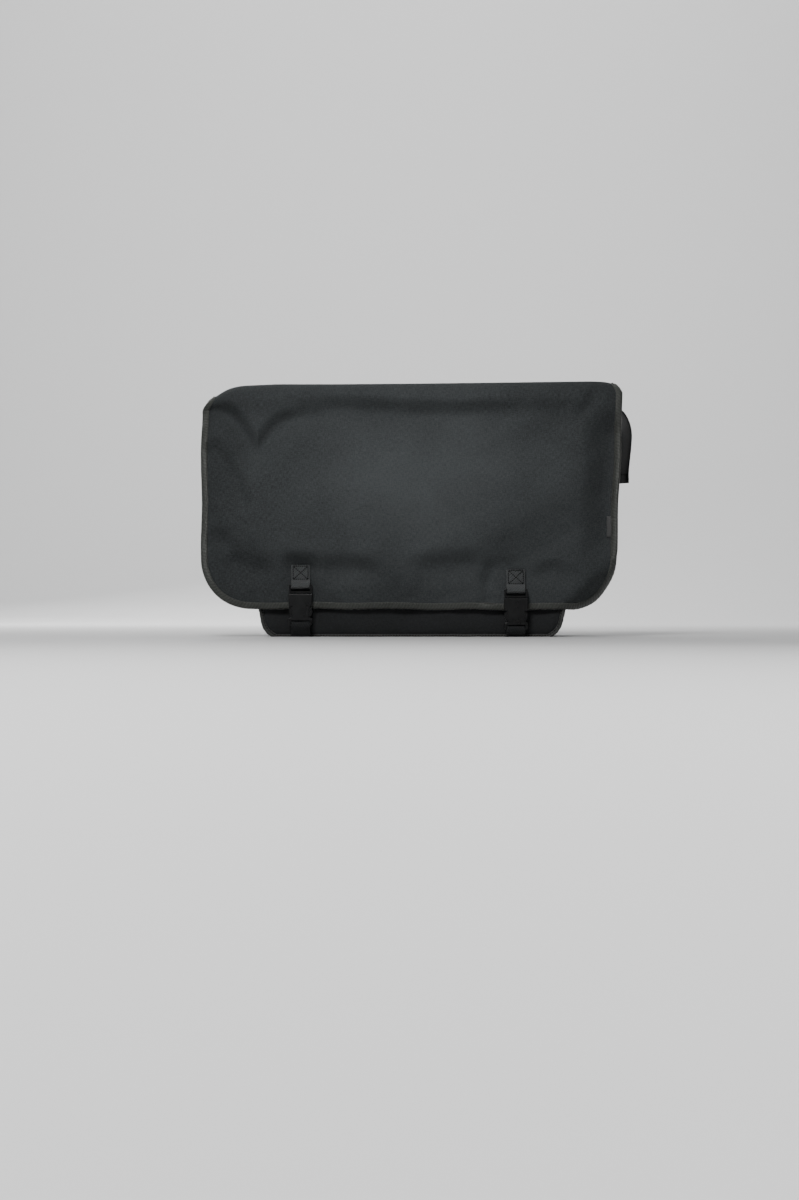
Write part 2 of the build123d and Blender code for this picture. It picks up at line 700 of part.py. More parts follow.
# free end of the webbing: out of the adjuster, folded to the right, then hanging
tail_y = pivot_y + 9.4
tail_route = [
    (238.0, tail_y, pivot_z, 0.0),
    (246.0, tail_y - 1.0, pivot_z, 22.0),
    (255.0, tail_y - 3.5, pivot_z + 1.5, 45.0),
    (265.0, tail_y - 6.5, pivot_z + 4.5, 68.0),
    (275.0, tail_y - 8.8, pivot_z + 9.0, 90.0),
]
with BuildPart() as strap_tail:
    with BuildSketch(Plane.XZ.offset(-tail_y - strap_thick / 2)):
        with BuildLine():
            Polyline(
                (anchor_x - strap_width / 2, pivot_z - strap_width / 2),
                (238.0, pivot_z - strap_width / 2),
                (238.0, pivot_z + strap_width / 2),
                (anchor_x + strap_width / 2, pivot_z + strap_width / 2),
                close=True,
            )
        make_face()
    extrude(amount=strap_thick)
    for first, second in zip(tail_route, tail_route[1:]):
        for x, y, z, turn in (first, second):
            with BuildSketch(Plane(origin=(x, y, z), x_dir=(0, 1, 0), z_dir=(1, 0, 0))):
                Rectangle(strap_thick, strap_width, rotation=-turn)
        loft(ruled=True)
    x_end, y_end, z_end, turn_end = tail_route[-1]
    with BuildSketch(Plane.XZ.offset(-y_end - strap_width / 2)):
        with BuildLine() as hang:
            crest = Spline(
                (x_end, z_end),
                (288.0, z_end + 8.0),
                (297.5, z_end + 5.5),
                (302.0, z_end - 8.0),
                tangents=((1, 0.55), (0.02, -1)),
            )
            Line(crest @ 1, (301.0, 212.0))
        trace(line_width=strap_thick)
        with Locations((301.2, 218.0)):
            Rectangle(2 * strap_thick, 12.0)
    extrude(amount=strap_width)
strap_tail.part.label = "strap_tail"
export_step(strap_tail.part, "parts/strap_tail.step")
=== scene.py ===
import math

import bpy
import numpy as np
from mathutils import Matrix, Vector


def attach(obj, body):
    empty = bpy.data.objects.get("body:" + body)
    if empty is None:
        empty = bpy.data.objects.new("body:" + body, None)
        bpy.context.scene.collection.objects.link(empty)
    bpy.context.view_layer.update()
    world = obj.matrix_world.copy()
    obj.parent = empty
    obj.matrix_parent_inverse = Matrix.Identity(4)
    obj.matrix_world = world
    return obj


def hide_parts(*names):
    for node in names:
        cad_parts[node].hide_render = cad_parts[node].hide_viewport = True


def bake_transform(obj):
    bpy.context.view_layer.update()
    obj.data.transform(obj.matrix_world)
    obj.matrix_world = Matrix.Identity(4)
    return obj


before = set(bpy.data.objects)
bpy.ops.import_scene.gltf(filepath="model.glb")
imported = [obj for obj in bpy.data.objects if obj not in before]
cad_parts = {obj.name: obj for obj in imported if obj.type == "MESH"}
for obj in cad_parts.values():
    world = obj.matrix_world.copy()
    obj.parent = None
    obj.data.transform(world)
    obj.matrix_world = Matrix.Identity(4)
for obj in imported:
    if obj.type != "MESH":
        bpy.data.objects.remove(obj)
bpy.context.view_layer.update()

# --- materials


def shader(name, color, rough, **inputs):
    """A new material with its Principled node; plain numbers go on its own sockets."""
    mat = bpy.data.materials.new(name)
    mat.use_nodes = True
    tree = mat.node_tree
    node = tree.nodes["Principled BSDF"]
    node.inputs["Base Color"].default_value = (*color, 1)
    node.inputs["Roughness"].default_value = rough
    for key, value in inputs.items():
        node.inputs[key.replace("_", " ")].default_value = value
    return mat, tree, node


def node_of(tree, kind, inputs=None, **fields):
    n = tree.nodes.new(kind)
    for key, value in fields.items():
        setattr(n, key, value)
    for key, value in (inputs or {}).items():
        if hasattr(value, "is_output"):
            tree.links.new(value, n.inputs[key])
        else:
            n.inputs[key].default_value = value
    return n


def math_of(tree, op, a, b=0.0):
    return node_of(tree, "ShaderNodeMath", {0: a, 1: b}, operation=op).outputs[0]


def add(tree, a, b):
    return math_of(tree, "ADD", a, b)


def times(tree, a, b):
    return math_of(tree, "MULTIPLY", a, b)


def noise_of(tree, vector, scale, detail, rough=0.55):
    fields = {"Vector": vector, "Scale": scale, "Detail": detail, "Roughness": rough}
    return node_of(tree, "ShaderNodeTexNoise", fields).outputs["Fac"]


def ramp_of(tree, value, stops):
    n = node_of(tree, "ShaderNodeValToRGB", {"Fac": value})
    ramp = n.color_ramp
    while len(ramp.elements) < len(stops):
        ramp.elements.new(0.5)
    for element, (place, color) in zip(ramp.elements, stops):
        element.position = place
        element.color = (*color, 1)
    return n.outputs["Color"]


def weave_height(tree, uv, pitch_u, pitch_v, twill=0.0):
    """Height of a plain weave, from UVs in metres."""
    parts = node_of(tree, "ShaderNodeSeparateXYZ", {0: uv})
    u = times(tree, parts.outputs["X"], math.pi / pitch_u)
    v = times(tree, parts.outputs["Y"], math.pi / pitch_v)
    if twill:
        u = add(tree, u, times(tree, v, twill))
    su = math_of(tree, "SINE", u)
    sv = math_of(tree, "SINE", v)
    return times(tree, su, sv)


def bump_of(tree, **inputs):
    return node_of(tree, "ShaderNodeBump", inputs).outputs["Normal"]


def halfway(dark, light):
    return tuple((a + b) / 2 for a, b in zip(dark, light))


def cloth_material(name, dark, light, rough, pitch, bump, sheen, painted_light_spot=None):
    """Woven cloth: weave from UVs, thread-to-thread colour change, broad changes of tone, and an
    optional painted pool of light that makes the middle paler and the edges darker.
    """
    mat, tree, node = shader(
        name, dark, rough, Sheen_Weight=sheen, Sheen_Roughness=0.45, Specular_IOR_Level=0.25
    )
    node.inputs["Sheen Tint"].default_value = (0.74, 0.8, 0.82, 1)
    coords = node_of(tree, "ShaderNodeTexCoord")
    uv = coords.outputs["UV"]
    place = coords.outputs["Object"]
    # slubs: noise stretched along each thread direction
    along_u = node_of(tree, "ShaderNodeMapping", {"Vector": uv, "Scale": (0.22, 1.0, 1.0)})
    along_v = node_of(tree, "ShaderNodeMapping", {"Vector": uv, "Scale": (1.0, 0.22, 1.0)})
    slub_u = noise_of(tree, along_u.outputs[0], 900.0, 2.0)
    slub_v = noise_of(tree, along_v.outputs[0], 900.0, 2.0)
    slub = add(tree, slub_u, slub_v)
    broad = noise_of(tree, place, 9.0, 4.0)
    height = weave_height(tree, uv, pitch, pitch)
    mix = times(tree, slub, 0.42)
    mix = add(tree, mix, times(tree, broad, 0.35))
    mix = add(tree, mix, times(tree, height, 0.1))
    if painted_light_spot:
        # painted light: paler in the middle and darker towards the edges, standing in for the
        # light falling on the swelling of the front
        (cx, cz), (rx, rz), amount = painted_light_spot
        spot = {"Location": (-cx / rx, 0, -cz / rz), "Scale": (1 / rx, 0, 1 / rz)}
        spread = node_of(tree, "ShaderNodeMapping", {"Vector": place, **spot})
        spot = {"Vector": spread.outputs[0]}
        ball = node_of(tree, "ShaderNodeTexGradient", spot, gradient_type="SPHERICAL")
        wear_and_painted_light = math_of(tree, "SUBTRACT", ball.outputs["Fac"], 0.5)
        mix = add(tree, mix, times(tree, wear_and_painted_light, amount))
    color = ramp_of(tree, mix, [(0.34, dark), (0.58, halfway(dark, light)), (0.82, light)])
    tree.links.new(color, node.inputs["Base Color"])
    total = add(tree, times(tree, height, 0.5), slub)
    fine = bump_of(tree, Height=total, Strength=bump, Distance=0.0004)
    crumple = noise_of(tree, place, 38.0, 5.0, 0.6)
    soft = bump_of(tree, Height=crumple, Strength=0.35, Distance=0.0025, Normal=fine)
    tree.links.new(soft, node.inputs["Normal"])
    return mat


def webbing_material(name, dark, light, rough, pitch_u, pitch_v, bump, sheen=0.15, gloss=0.35):
    """Flat webbing: ribs across, long threads down its length."""
    mat, tree, node = shader(
        name, dark, rough, Sheen_Weight=sheen, Sheen_Roughness=0.4, Specular_IOR_Level=gloss
    )
    coords = node_of(tree, "ShaderNodeTexCoord")
    uv = coords.outputs["UV"]
    height = weave_height(tree, uv, pitch_u, pitch_v, twill=0.5)
    slub = noise_of(tree, uv, 1500.0, 2.0)
    broad = noise_of(tree, coords.outputs["Object"], 14.0, 4.0)
    mix = add(tree, times(tree, height, 0.22), slub)
    mix = add(tree, mix, times(tree, broad, 0.4))
    color = ramp_of(tree, mix, [(0.35, dark), (0.65, halfway(dark, light)), (1.0, light)])
    tree.links.new(color, node.inputs["Base Color"])
    total = add(tree, height, times(tree, slub, 0.5))
    fine = bump_of(tree, Height=total, Strength=bump, Distance=0.0005)
    tree.links.new(fine, node.inputs["Normal"])
    return mat


def moulded_material(name, color, rough, bump=0.15, scale=900.0, **inputs):
    """Moulded or painted surface: faint grain, handling marks in the roughness."""
    mat, tree, node = shader(name, color, rough, **inputs)
    place = node_of(tree, "ShaderNodeTexCoord").outputs["Object"]
    grain = noise_of(tree, place, scale, 3.0)
    smudge = noise_of(tree, place, 60.0, 4.0)
    lift = bump_of(tree, Height=grain, Strength=bump, Distance=0.0003)
    tree.links.new(lift, node.inputs["Normal"])
    span = {"From Min": 0.3, "From Max": 0.7}
    span.update({"To Min": max(rough - 0.1, 0.05), "To Max": min(rough + 0.14, 1.0)})
    wear_and_painted_light = node_of(tree, "ShaderNodeMapRange", {"Value": smudge, **span})
    tree.links.new(wear_and_painted_light.outputs[0], node.inputs["Roughness"])
    pale = tuple(min(1.0, c * 1.6 + 0.004) for c in color)
    tint = ramp_of(tree, smudge, [(0.35, color), (0.75, pale)])
    tree.links.new(tint, node.inputs["Base Color"])
    return mat


canvas = cloth_material(
    "canvas", (0.017, 0.019, 0.0198), (0.064, 0.07, 0.0722), 0.86, 0.0011, 0.55, 0.1,
    # painted light on the flap's canvas: a paler middle and darker edges
    painted_light_spot=((0.015, 0.2), (0.31, 0.245), 0.33),
)
# the body's canvas, about three times darker than the flap's: painted shade for the shadow under
# the flap
canvas_painted_shade = cloth_material(
    "canvas_painted_shade", (0.007, 0.0075, 0.0079), (0.0215, 0.0228, 0.0237), 0.86, 0.0011, 0.55, 0.12
)
lining_cloth = cloth_material(
    "lining_cloth", (0.028, 0.03, 0.033), (0.062, 0.066, 0.072), 0.7, 0.0006, 0.3, 0.15
)
grosgrain = webbing_material(
    "binding_tape", (0.017, 0.0182, 0.0163), (0.062, 0.0655, 0.0585), 0.42, 0.0045, 0.0011, 0.55
)
webbing = webbing_material(
    "webbing", (0.02, 0.0218, 0.0222), (0.078, 0.083, 0.084), 0.52, 0.0018, 0.001, 0.75
)
# a copy of the webbing, several times darker: painted shade for the base straps under the buckles
# and the free end behind the bag; all the shoulder strap's pieces use it too
webbing_painted_shade = webbing_material(
    "webbing_painted_shade", (0.006, 0.0064, 0.0068), (0.027, 0.0285, 0.0295), 0.7, 0.0016, 0.0012, 0.6,
    sheen=0.03, gloss=0.1,
)
label_cloth = webbing_material(
    "label_cloth", (0.03, 0.031, 0.031), (0.07, 0.07, 0.07), 0.75, 0.0007, 0.0007, 0.35
)
plastic = moulded_material(
    "buckle_plastic", (0.003, 0.0032, 0.0034), 0.33, 0.1, 1400.0, Specular_IOR_Level=0.34
)
black_metal = moulded_material(
    "black_metal", (0.018, 0.018, 0.019), 0.34, 0.1, 1800.0, Metallic=0.0, Coat_Weight=0.25
)
steel = moulded_material("steel", (0.46, 0.46, 0.47), 0.28, 0.1, 2500.0, Metallic=1.0)
board_plastic = moulded_material("board_plastic", (0.05, 0.05, 0.05), 0.55, 0.25, 500.0)
thread_mat = moulded_material(
    "thread", (0.0022, 0.0024, 0.0027), 0.85, 0.1, 900.0, Specular_IOR_Level=0.1
)
tape_thread = webbing_material(
    "tape_thread", (0.02, 0.021, 0.019), (0.06, 0.061, 0.055), 0.62, 0.0004, 0.0006, 0.3
)
grosgrain_dark = webbing_material(
    "seam_tape_dark", (0.016, 0.0165, 0.016), (0.048, 0.049, 0.046), 0.7, 0.0045, 0.0011, 0.5
)

# --- mesh helpers


def unit(v):
    return v / np.maximum(np.linalg.norm(v, axis=-1, keepdims=True), 1e-12)


def lengths(points):
    """How far along a polyline each of its points is."""
    steps = np.linalg.norm(np.diff(points, axis=0), axis=1)
    return np.concatenate([[0], np.cumsum(steps)])


def uv_pairs(u, v):
    return np.stack(np.broadcast_arrays(u, v), -1)


def at_x(x, yz):
    """Points of a side view (y, z) put at one place across the bag."""
    return np.stack([np.full(len(yz), x), yz[:, 0], yz[:, 1]], 1)


def placed(name, data):
    obj = bpy.data.objects.new(name, data)
    bpy.context.scene.collection.objects.link(obj)
    return obj


def mesh_object(name, verts, faces, mats, uvs=None, face_mats=None, flat_from=None):
    """A mesh from arrays of points, with a UV per point in metres."""
    data = bpy.data.meshes.new(name)
    points = np.reshape(verts, (-1, 3))
    data.from_pydata([tuple(map(float, v)) for v in points], [], [tuple(f) for f in faces])
    for mat in mats if isinstance(mats, list) else [mats]:
        data.materials.append(mat)
    if face_mats is not None:
        data.polygons.foreach_set("material_index", list(face_mats))
    if uvs is not None:
        layer = data.uv_layers.new(name="UVMap")
        loops = np.zeros(len(data.loops), int)
        data.loops.foreach_get("vertex_index", loops)
        layer.data.foreach_set("uv", np.reshape(uvs, (-1, 2))[loops].ravel())
    count = len(data.polygons)
    flat_from = count if flat_from is None else flat_from
    data.polygons.foreach_set("use_smooth", [k < flat_from for k in range(count)])
    data.validate()
    data.update()
    return placed(name, data)


def quads(rows, cols, start=0, wrap=False, flip=False):
    out = []
    for i in range(rows - 1):
        for j in range(cols if wrap else cols - 1):
            k = (j + 1) % cols
            low, high = start + i * cols, start + (i + 1) * cols
            a, b, c, d = low + j, low + k, high + k, high + j
            out.append((a, d, c, b) if flip else (a, b, c, d))
    return out


def two_sided(name, outer, inner, uv, mats):
    """A closed sheet from its two faces, joined round its four edges."""
    rows, cols = outer.shape[:2]
    count = rows * cols
    faces = quads(rows, cols, 0, flip=True)
    kinds = [0] * len(faces)
    back = quads(rows, cols, count)
    faces += back
    kinds += [1] * len(back)
    rim_start = len(faces)
    border = (
        [(0, j) for j in range(cols)]
        + [(i, cols - 1) for i in range(1, rows)]
        + [(rows - 1, j) for j in range(cols - 2, -1, -1)]
        + [(i, 0) for i in range(rows - 2, 0, -1)]
    )
    for (i, j), (k, m) in zip(border, border[1:] + border[:1]):
        a, b = i * cols + j, k * cols + m
        faces.append((a, b, b + count, a + count))
        kinds.append(0)
    return mesh_object(name, [outer, inner], faces, mats, [uv, uv], kinds, rim_start)


def resample(points, step):
    """Points evenly spaced along a polyline, and how far along each is."""
    points = np.asarray(points, float)
    far = lengths(points)
    n = max(int(round(far[-1] / step)) + 1, 2)
    at = np.linspace(0, far[-1], n)
    return np.stack([np.interp(at, far, points[:, k]) for k in range(points.shape[1])], 1), at


def smooth_path(points, step=0.002):
    """A Catmull-Rom curve through the points, evenly resampled."""
    p = np.asarray(points, float)
    p = np.concatenate([[2 * p[0] - p[1]], p, [2 * p[-1] - p[-2]]])
    out = []
    for i in range(1, len(p) - 2):
        t = np.linspace(0, 1, 16, endpoint=False)[:, None]
        a, b, c, d = p[i - 1], p[i], p[i + 1], p[i + 2]
        square, cube = 2 * a - 5 * b + 4 * c - d, 3 * b - a - 3 * c + d
        out.append(0.5 * (2 * b + (c - a) * t + square * t**2 + cube * t**3))
    out = np.concatenate([*out, p[-2:-1]])
    return resample(out, step)


def ribbon(name, centres, widths, width, thick, mat):
    """Flat webbing with rounded edges; widths is its width direction, or one a point."""
    centres = np.asarray(centres, float)
    along = unit(np.gradient(centres, axis=0))
    wide = np.broadcast_to(np.asarray(widths, float), centres.shape)
    wide = unit(wide - (wide * along).sum(1, keepdims=True) * along)
    normal = unit(np.cross(along, wide))
    half, h = width / 2, thick / 2
    e = min(h * 0.9, width * 0.1)
    corner = [(half, 0.0), (half - 0.25 * e, h * 0.72), (half - e, h), (half * 0.5, h * 1.02)]
    upper = [(-a, b) for a, b in corner] + [(0, h * 1.04)] + corner[::-1]
    section = upper + [(a, -b) for a, b in upper[-2:0:-1]]
    far = lengths(centres)
    rows, cols = len(centres), len(section)
    across, over = np.array(section).T[:, None, :, None]
    verts = centres[:, None] + wide[:, None] * across + normal[:, None] * over
    uvs = uv_pairs(across[..., 0], far[:, None])
    faces = quads(rows, cols, wrap=True)
    faces.append(tuple(range(cols)))
    faces.append(tuple(range(rows * cols - 1, (rows - 1) * cols - 1, -1)))
    return mesh_object(name, verts, faces, mat, uvs)


def stitches(name, runs, mat, length=0.0026, pitch=0.0036, radius=0.00042, lift=0.00015):
    """Short raised stitches along runs of (points, normals)."""
    verts, faces, uvs = [], [], []
    for points, normals in runs:
        points, normals = np.asarray(points, float), np.asarray(normals, float)
        far = lengths(points)
        for s in np.arange(pitch / 2, far[-1] - pitch / 4, pitch):
            ends = []
            for d in (-length / 2, -length / 5, length / 5, length / 2):
                p = np.array([np.interp(s + d, far, points[:, k]) for k in range(3)])
                n = unit(np.array([np.interp(s, far, normals[:, k]) for k in range(3)]))
                ends.append((p, n))
            axis = unit(ends[-1][0] - ends[0][0])
            side = unit(np.cross(axis, ends[0][1]))
            start = len(verts)
            for (p, n), r, up in zip(ends, (0.3, 1.0, 1.0, 0.3), (-0.6, 0.3, 0.3, -0.6)):
                centre = p + n * (lift + up * radius)
                for a in range(6):
                    t = a * math.pi / 3
                    verts.append(
                        centre + (side * math.cos(t) + n * math.sin(t) * 0.8) * radius * r
                    )
                    uvs.append((a * 0.0003, s))
            faces += quads(4, 6, start, wrap=True)
    return mesh_object(name, verts, faces, mat, uvs)


# --- the flap's shape
# Cloth lengths in metres: x across, s from the back seam over the top and down the front.
FRONT_HALF, REAR_HALF = 0.279, 0.264
REAR_Y, REAR_Z, REAR_R = 0.0905, 0.33, 0.0075
BEND_Y, BEND_Z, BEND_R = -0.0855, 0.3226, 0.015
LOW_Z, CORNER = 0.0396, 0.062
# s at the end of the rear bend, at both ends of the front bend, and at the lower edge
S1 = REAR_R * math.pi / 2
S2 = S1 + (REAR_Y - BEND_Y)
S3 = S2 + BEND_R * math.pi / 2
S4 = S3 + (BEND_Z - LOW_Z)
# s where the cloth of the back strip and of the main piece meet
MID = S1 + 0.0125
CLOTH = 0.0024
# the two buckles: side, place across, and height over the left one
BUCKLES = (("left", -0.148, 0.0), ("right", 0.138, -0.006))


def near_line(x, z, ends):
    """Signed distance to a smooth line through points given in millimetres, and how far
    along it; positive below a line drawn left to right."""
    line, _ = smooth_path(np.array(ends) * 0.001, 0.006)
    best = np.full(np.shape(x), 1e9)
    side = np.zeros(np.shape(x))
    along = np.zeros(np.shape(x))
    count = len(line) - 1
    for k, (p, q) in enumerate(zip(line, line[1:])):
        d = q - p
        t = ((x - p[0]) * d[0] + (z - p[1]) * d[1]) / (d @ d)
        t = np.clip(t, 0, 1)
        px, pz = x - p[0] - t * d[0], z - p[1] - t * d[1]
        dist = np.hypot(px, pz)
        closer = dist < best
        best = np.where(closer, dist, best)
        side = np.where(closer, np.sign(px * d[1] - pz * d[0]), side)
        along = np.where(closer, (k + t) / count, along)
    return best * side, along


def smoothstep(a, b, v):
    t = np.clip((v - a) / (b - a), 0, 1)
    return t * t * (3 - 2 * t)


def ends_fade(along, first, last):
    """Fades a fold out towards both ends of its line."""
    a = smoothstep(0, first, along) if first else 1.0
    b = smoothstep(0, last, 1 - along) if last else 1.0
    return a * b


def crease(x, z, ends, width, size, first, last):
    """A soft ridge (or valley) along a line."""
    dist, along = near_line(x, z, ends)
    return size * ends_fade(along, first, last) * np.exp(-((dist / width) ** 2))


def tuck(x, z, ends, depth, up, low, first, last):
    """A valley along a line, steep above it and easy below it."""
    dist, along = near_line(x, z, ends)
    shape = np.where(dist < 0, smoothstep(-up, 0, dist), 1 - smoothstep(0, low, dist))
    return -depth * ends_fade(along, first, last) * shape


def rounded(x, step, knots):
    """Height at x of a line through knots given in millimetres, with rounded corners."""
    at, high = np.array(knots).T * 0.001
    return sum(np.interp(x + k * step, at, high) for k in (-2, -1, 0, 1, 2)) / 5


# where the swelling of the front ends, above its lower edge
LOAD_EDGE = (
    (-285, 180), (-240, 156), (-200, 132), (-165, 113), (-130, 109),
    (-85, 111), (-40, 102), (0, 101), (30, 113), (60, 123),
    (100, 136), (150, 160), (200, 192), (240, 222), (285, 245),
)  # fmt: skip
# height of the top of the flap across the bag
TOP_LINE = (
    (-290, 309.5), (-276, 318), (-264, 324.5), (-250, 330), (-229, 335),
    (-180, 337.2), (-100, 337.2), (0, 338), (100, 339.2), (180, 340.2),
    (240, 341), (262, 340.2), (272, 338.5), (282, 335),
)  # fmt: skip
TOP_LEVEL = 0.3376
# dips of the top: middle in x and s, slant, width, depth
TOP_DIPS = (
    (0.09, 0.1, 0.3, 0.04, 0.003),
    (-0.15, 0.1, -0.25, 0.034, 0.0034),
    (-0.225, 0.12, 0.5, 0.016, 0.0028),
    (0.222, 0.12, -0.45, 0.016, 0.0028),
)


# tucks of the front: line, depth, reach above and below it, fades of its two ends
TUCKS = (
    # the cloth falls inwards under the front edge of the top
    (
        ((-150, 309), (-80, 302), (0, 296), (60, 294), (120, 298), (180, 308)),
        0.0078, 0.024, 0.05, 0.16, 0.25,
    ),
    # upper left corner, a deep V
    (
        (
            (-288, 301), (-262, 300), (-246, 295), (-233, 283), (-220, 264), (-208, 247),
            (-197, 256), (-186, 271), (-168, 285), (-140, 292), (-105, 297),
        ),
        0.0145, 0.019, 0.038, 0.0, 0.35,
    ),
    # left side, a long soft fold
    (
        ((-274, 262), (-252, 240), (-238, 214), (-227, 186), (-222, 156)),
        0.0062, 0.015, 0.024, 0.15, 0.35,
    ),
    # a drag line from the upper right corner, with a hollow above it
    (
        ((66, 240), (100, 238), (132, 250), (178, 271), (232, 292)),
        0.005, 0.026, 0.034, 0.35, 0.2,
    ),
    # the swelling ends above the lower edge in rounded hollows
    (
        ((-134, 74), (-112, 88), (-84, 92), (-58, 87), (-38, 72)),
        0.0076, 0.022, 0.03, 0.3, 0.3,
    ),
    (((-4, 76), (16, 88), (44, 94), (78, 94), (104, 84)), 0.0078, 0.026, 0.03, 0.3, 0.35),
    (((158, 74), (182, 86), (206, 84), (232, 70)), 0.0062, 0.02, 0.026, 0.35, 0.35),
    (((-262, 82), (-232, 92), (-204, 90), (-176, 78)), 0.006, 0.024, 0.026, 0.35, 0.35),
)  # fmt: skip
# creases: line, width, height (below zero for a valley), fades of its two ends
CREASES = (
    # upper left corner and left side
    (((-166, 322), (-150, 309), (-130, 304)), 0.009, -0.003, 0.3, 0.3),
    (((-272, 290), (-242, 264), (-214, 240), (-178, 232)), 0.013, 0.004, 0.1, 0.3),
    (((-246, 196), (-252, 162), (-246, 124)), 0.011, 0.003, 0.3, 0.3),
    (((-264, 150), (-244, 116), (-226, 82)), 0.013, -0.0072, 0.3, 0.3),
    # upper right corner
    (((246, 334), (236, 308), (216, 288)), 0.009, -0.0052, 0.05, 0.4),
    (((150, 304), (190, 303), (222, 320)), 0.011, -0.003, 0.3, 0.3),
    # between the buckles, and beside the right one
    (((-26, 94), (-10, 76), (-4, 54)), 0.013, 0.0022, 0.3, 0.3),
    (((116, 108), (106, 88), (101, 64), (106, 42)), 0.0105, -0.0052, 0.3, 0.15),
)


def front_out(x, z):
    """How far the hanging front stands out of its plane, in metres, towards the viewer."""
    low = rounded(x, 0.006, LOAD_EDGE)
    load = np.exp(-((np.abs(x + 0.004) / 0.25) ** 5))
    rise = smoothstep(-0.072, 0.016, z - low) * (1 - smoothstep(0.172, 0.312, z))
    d = 0.024 * load * rise
    # the front edge of the top stands out, and so does the cloth under the V
    d += 0.006 * smoothstep(0.292, 0.318, z) * np.exp(-((x / 0.262) ** 8))
    swelling = np.exp(-(((x + 0.212) / 0.078) ** 4)) * np.exp(-(((z - 0.292) / 0.052) ** 4))
    d += 0.0096 * swelling
    for fold in TUCKS:
        d += tuck(x, z, *fold)
    for fold in CREASES:
        d += crease(x, z, *fold)
    # the right side turns away and its edge comes back
    tall = smoothstep(0.08, 0.13, z) * (1 - smoothstep(0.268, 0.306, z))
    d -= 0.017 * smoothstep(0.226, 0.266, x) * tall
    d += 0.006 * smoothstep(0.266, 0.281, x) * tall
    # lower corners: the right one curls back, the left one flares a little
    past = np.maximum(((x - 0.196) * 0.66 - (z - 0.04) * 0.751) / 0.029, 0)
    d -= 0.033 * past**1.5
    d += 0.0045 * smoothstep(-0.19, -0.272, x) * (1 - smoothstep(0.06, 0.15, z))
    # small unevenness everywhere
    d += 0.0008 * np.sin(x * 61 + 1.3 + z * 23) * np.sin(z * 47 - x * 19 + 0.4)
    d += 0.0004 * np.sin(x * 139 - z * 77 + 2.0) * np.sin(z * 113 + x * 41)
    # flat behind the two buckles
    for _, cx, dz in BUCKLES:
        top = 0.098 + dz
        near = np.exp(-(((x - cx) / 0.024) ** 4)) * (1 - smoothstep(top - 0.01, top + 0.018, z))
        d = d * (1 - near) + 0.0002 * near
    return d


def side_half(s):
    """Half width of the cloth at length s, with the rounded lower corners."""
    s = np.asarray(s, float)
    top = REAR_HALF + (FRONT_HALF - REAR_HALF) * np.clip((s - S1) / (S2 - S1), 0, 1)
    low = np.clip(s - (S4 - CORNER), 0, CORNER)
    return top - (CORNER - np.sqrt(np.maximum(CORNER**2 - low**2, 0)))


def flap_point(x, s):
    """Where the outer face of the cloth is, for cloth coordinates x and s."""
    x, s = np.broadcast_arrays(np.asarray(x, float), np.asarray(s, float))
    a = np.clip(s / REAR_R, 0, math.pi / 2)
    b = np.clip((s - S2) / BEND_R, 0, math.pi / 2)
    y = REAR_Y + REAR_R * np.cos(a) - np.clip(s - S1, 0, S2 - S1) - BEND_R * np.sin(b)
    z = np.where(s < S2, REAR_Z + REAR_R * np.sin(a), BEND_Z + BEND_R * np.cos(b))
    z = z - np.maximum(s - S3, 0)
    # the top follows the line the bag's edge makes, more towards the front
    start = np.where(x < -0.2, 0.6, 0.0) * smoothstep(0.2, 0.25, -x)
    share = start + (1 - start) * smoothstep(0.0, S2, s)
    share = share * (1 - smoothstep(S3 - 0.004, S3 + 0.055, s))
    z = z + (rounded(x, 0.004, TOP_LINE) - TOP_LEVEL) * share
    # the top sinks a little between the bag's edges, with a few soft waves
    mid = np.sin(np.pi * np.clip((s - S1) / (S2 - S1), 0, 1))
    inside = np.exp(-((x / 0.245) ** 8))
    z = z - 0.0052 * mid * inside
    z = z + 0.0016 * mid * inside * np.sin(x * 29 + 0.7 + 6 * s) * (0.6 + 0.4 * np.sin(s * 44))
    for cx, cs, turn, wide, deep in TOP_DIPS:
        z = z - deep * mid * np.exp(-(((x - cx - turn * (s - cs)) / wide) ** 2))
    out = front_out(x, z) * smoothstep(S2 + 0.003, S3 + 0.006, s)
    y = y - out
    # side edges: straight on the left, drawn in a little on the right
    draw = 0.0072 * smoothstep(0.02, 0.279, x) * smoothstep(S3, S3 + 0.25, s)
    wave = 0.0007 * np.sin(z * 55 + 1.1) * smoothstep(0.2, 0.279, np.abs(x)) * np.sign(x)
    back = smoothstep(S1, S2, s)
    round_left = 0.01 * smoothstep(-0.232, -0.279, x) * smoothstep(0.298, 0.3205, z) * back
    round_right = 0.0064 * smoothstep(0.24, 0.279, x) * smoothstep(0.324, 0.3385, z) * back
    xx = x - draw + wave * smoothstep(S2, S3, s) + round_left - round_right
    # lower edge a little lower on the right, in shallow scallops
    low = smoothstep(S4 - 0.06, S4, s)
    z = z - low * (0.0012 + 0.0016 * smoothstep(-0.2, 0.2, x) + 0.0007 * np.sin(x * 58))
    return np.stack([xx, y, z], -1)


def flap_normal(x, s):
    e = 0.0008
    du = flap_point(x + e, s) - flap_point(x - e, s)
    dv = flap_point(x, s + e) - flap_point(x, s - e)
    return unit(np.cross(dv, du))


def on_flap(x, s):
    return flap_point(x, s), flap_normal(x, s)


def flap_rows(s0, s1, step):
    """Lengths along the cloth, closer together in the bends and round the corners."""
    stops = [s0]
    while stops[-1] < s1 - 1e-6:
        s = stops[-1]
        d = step
        if s < S1 + 0.004 or S2 - 0.004 < s < S3 + 0.004:
            d = min(step, 0.0018)
        left = S4 - s
        if left < CORNER:
            d = min(step, max(0.0006, 0.06 * left + 0.0004))
        stops.append(min(s + d, s1))
    return np.array(stops)


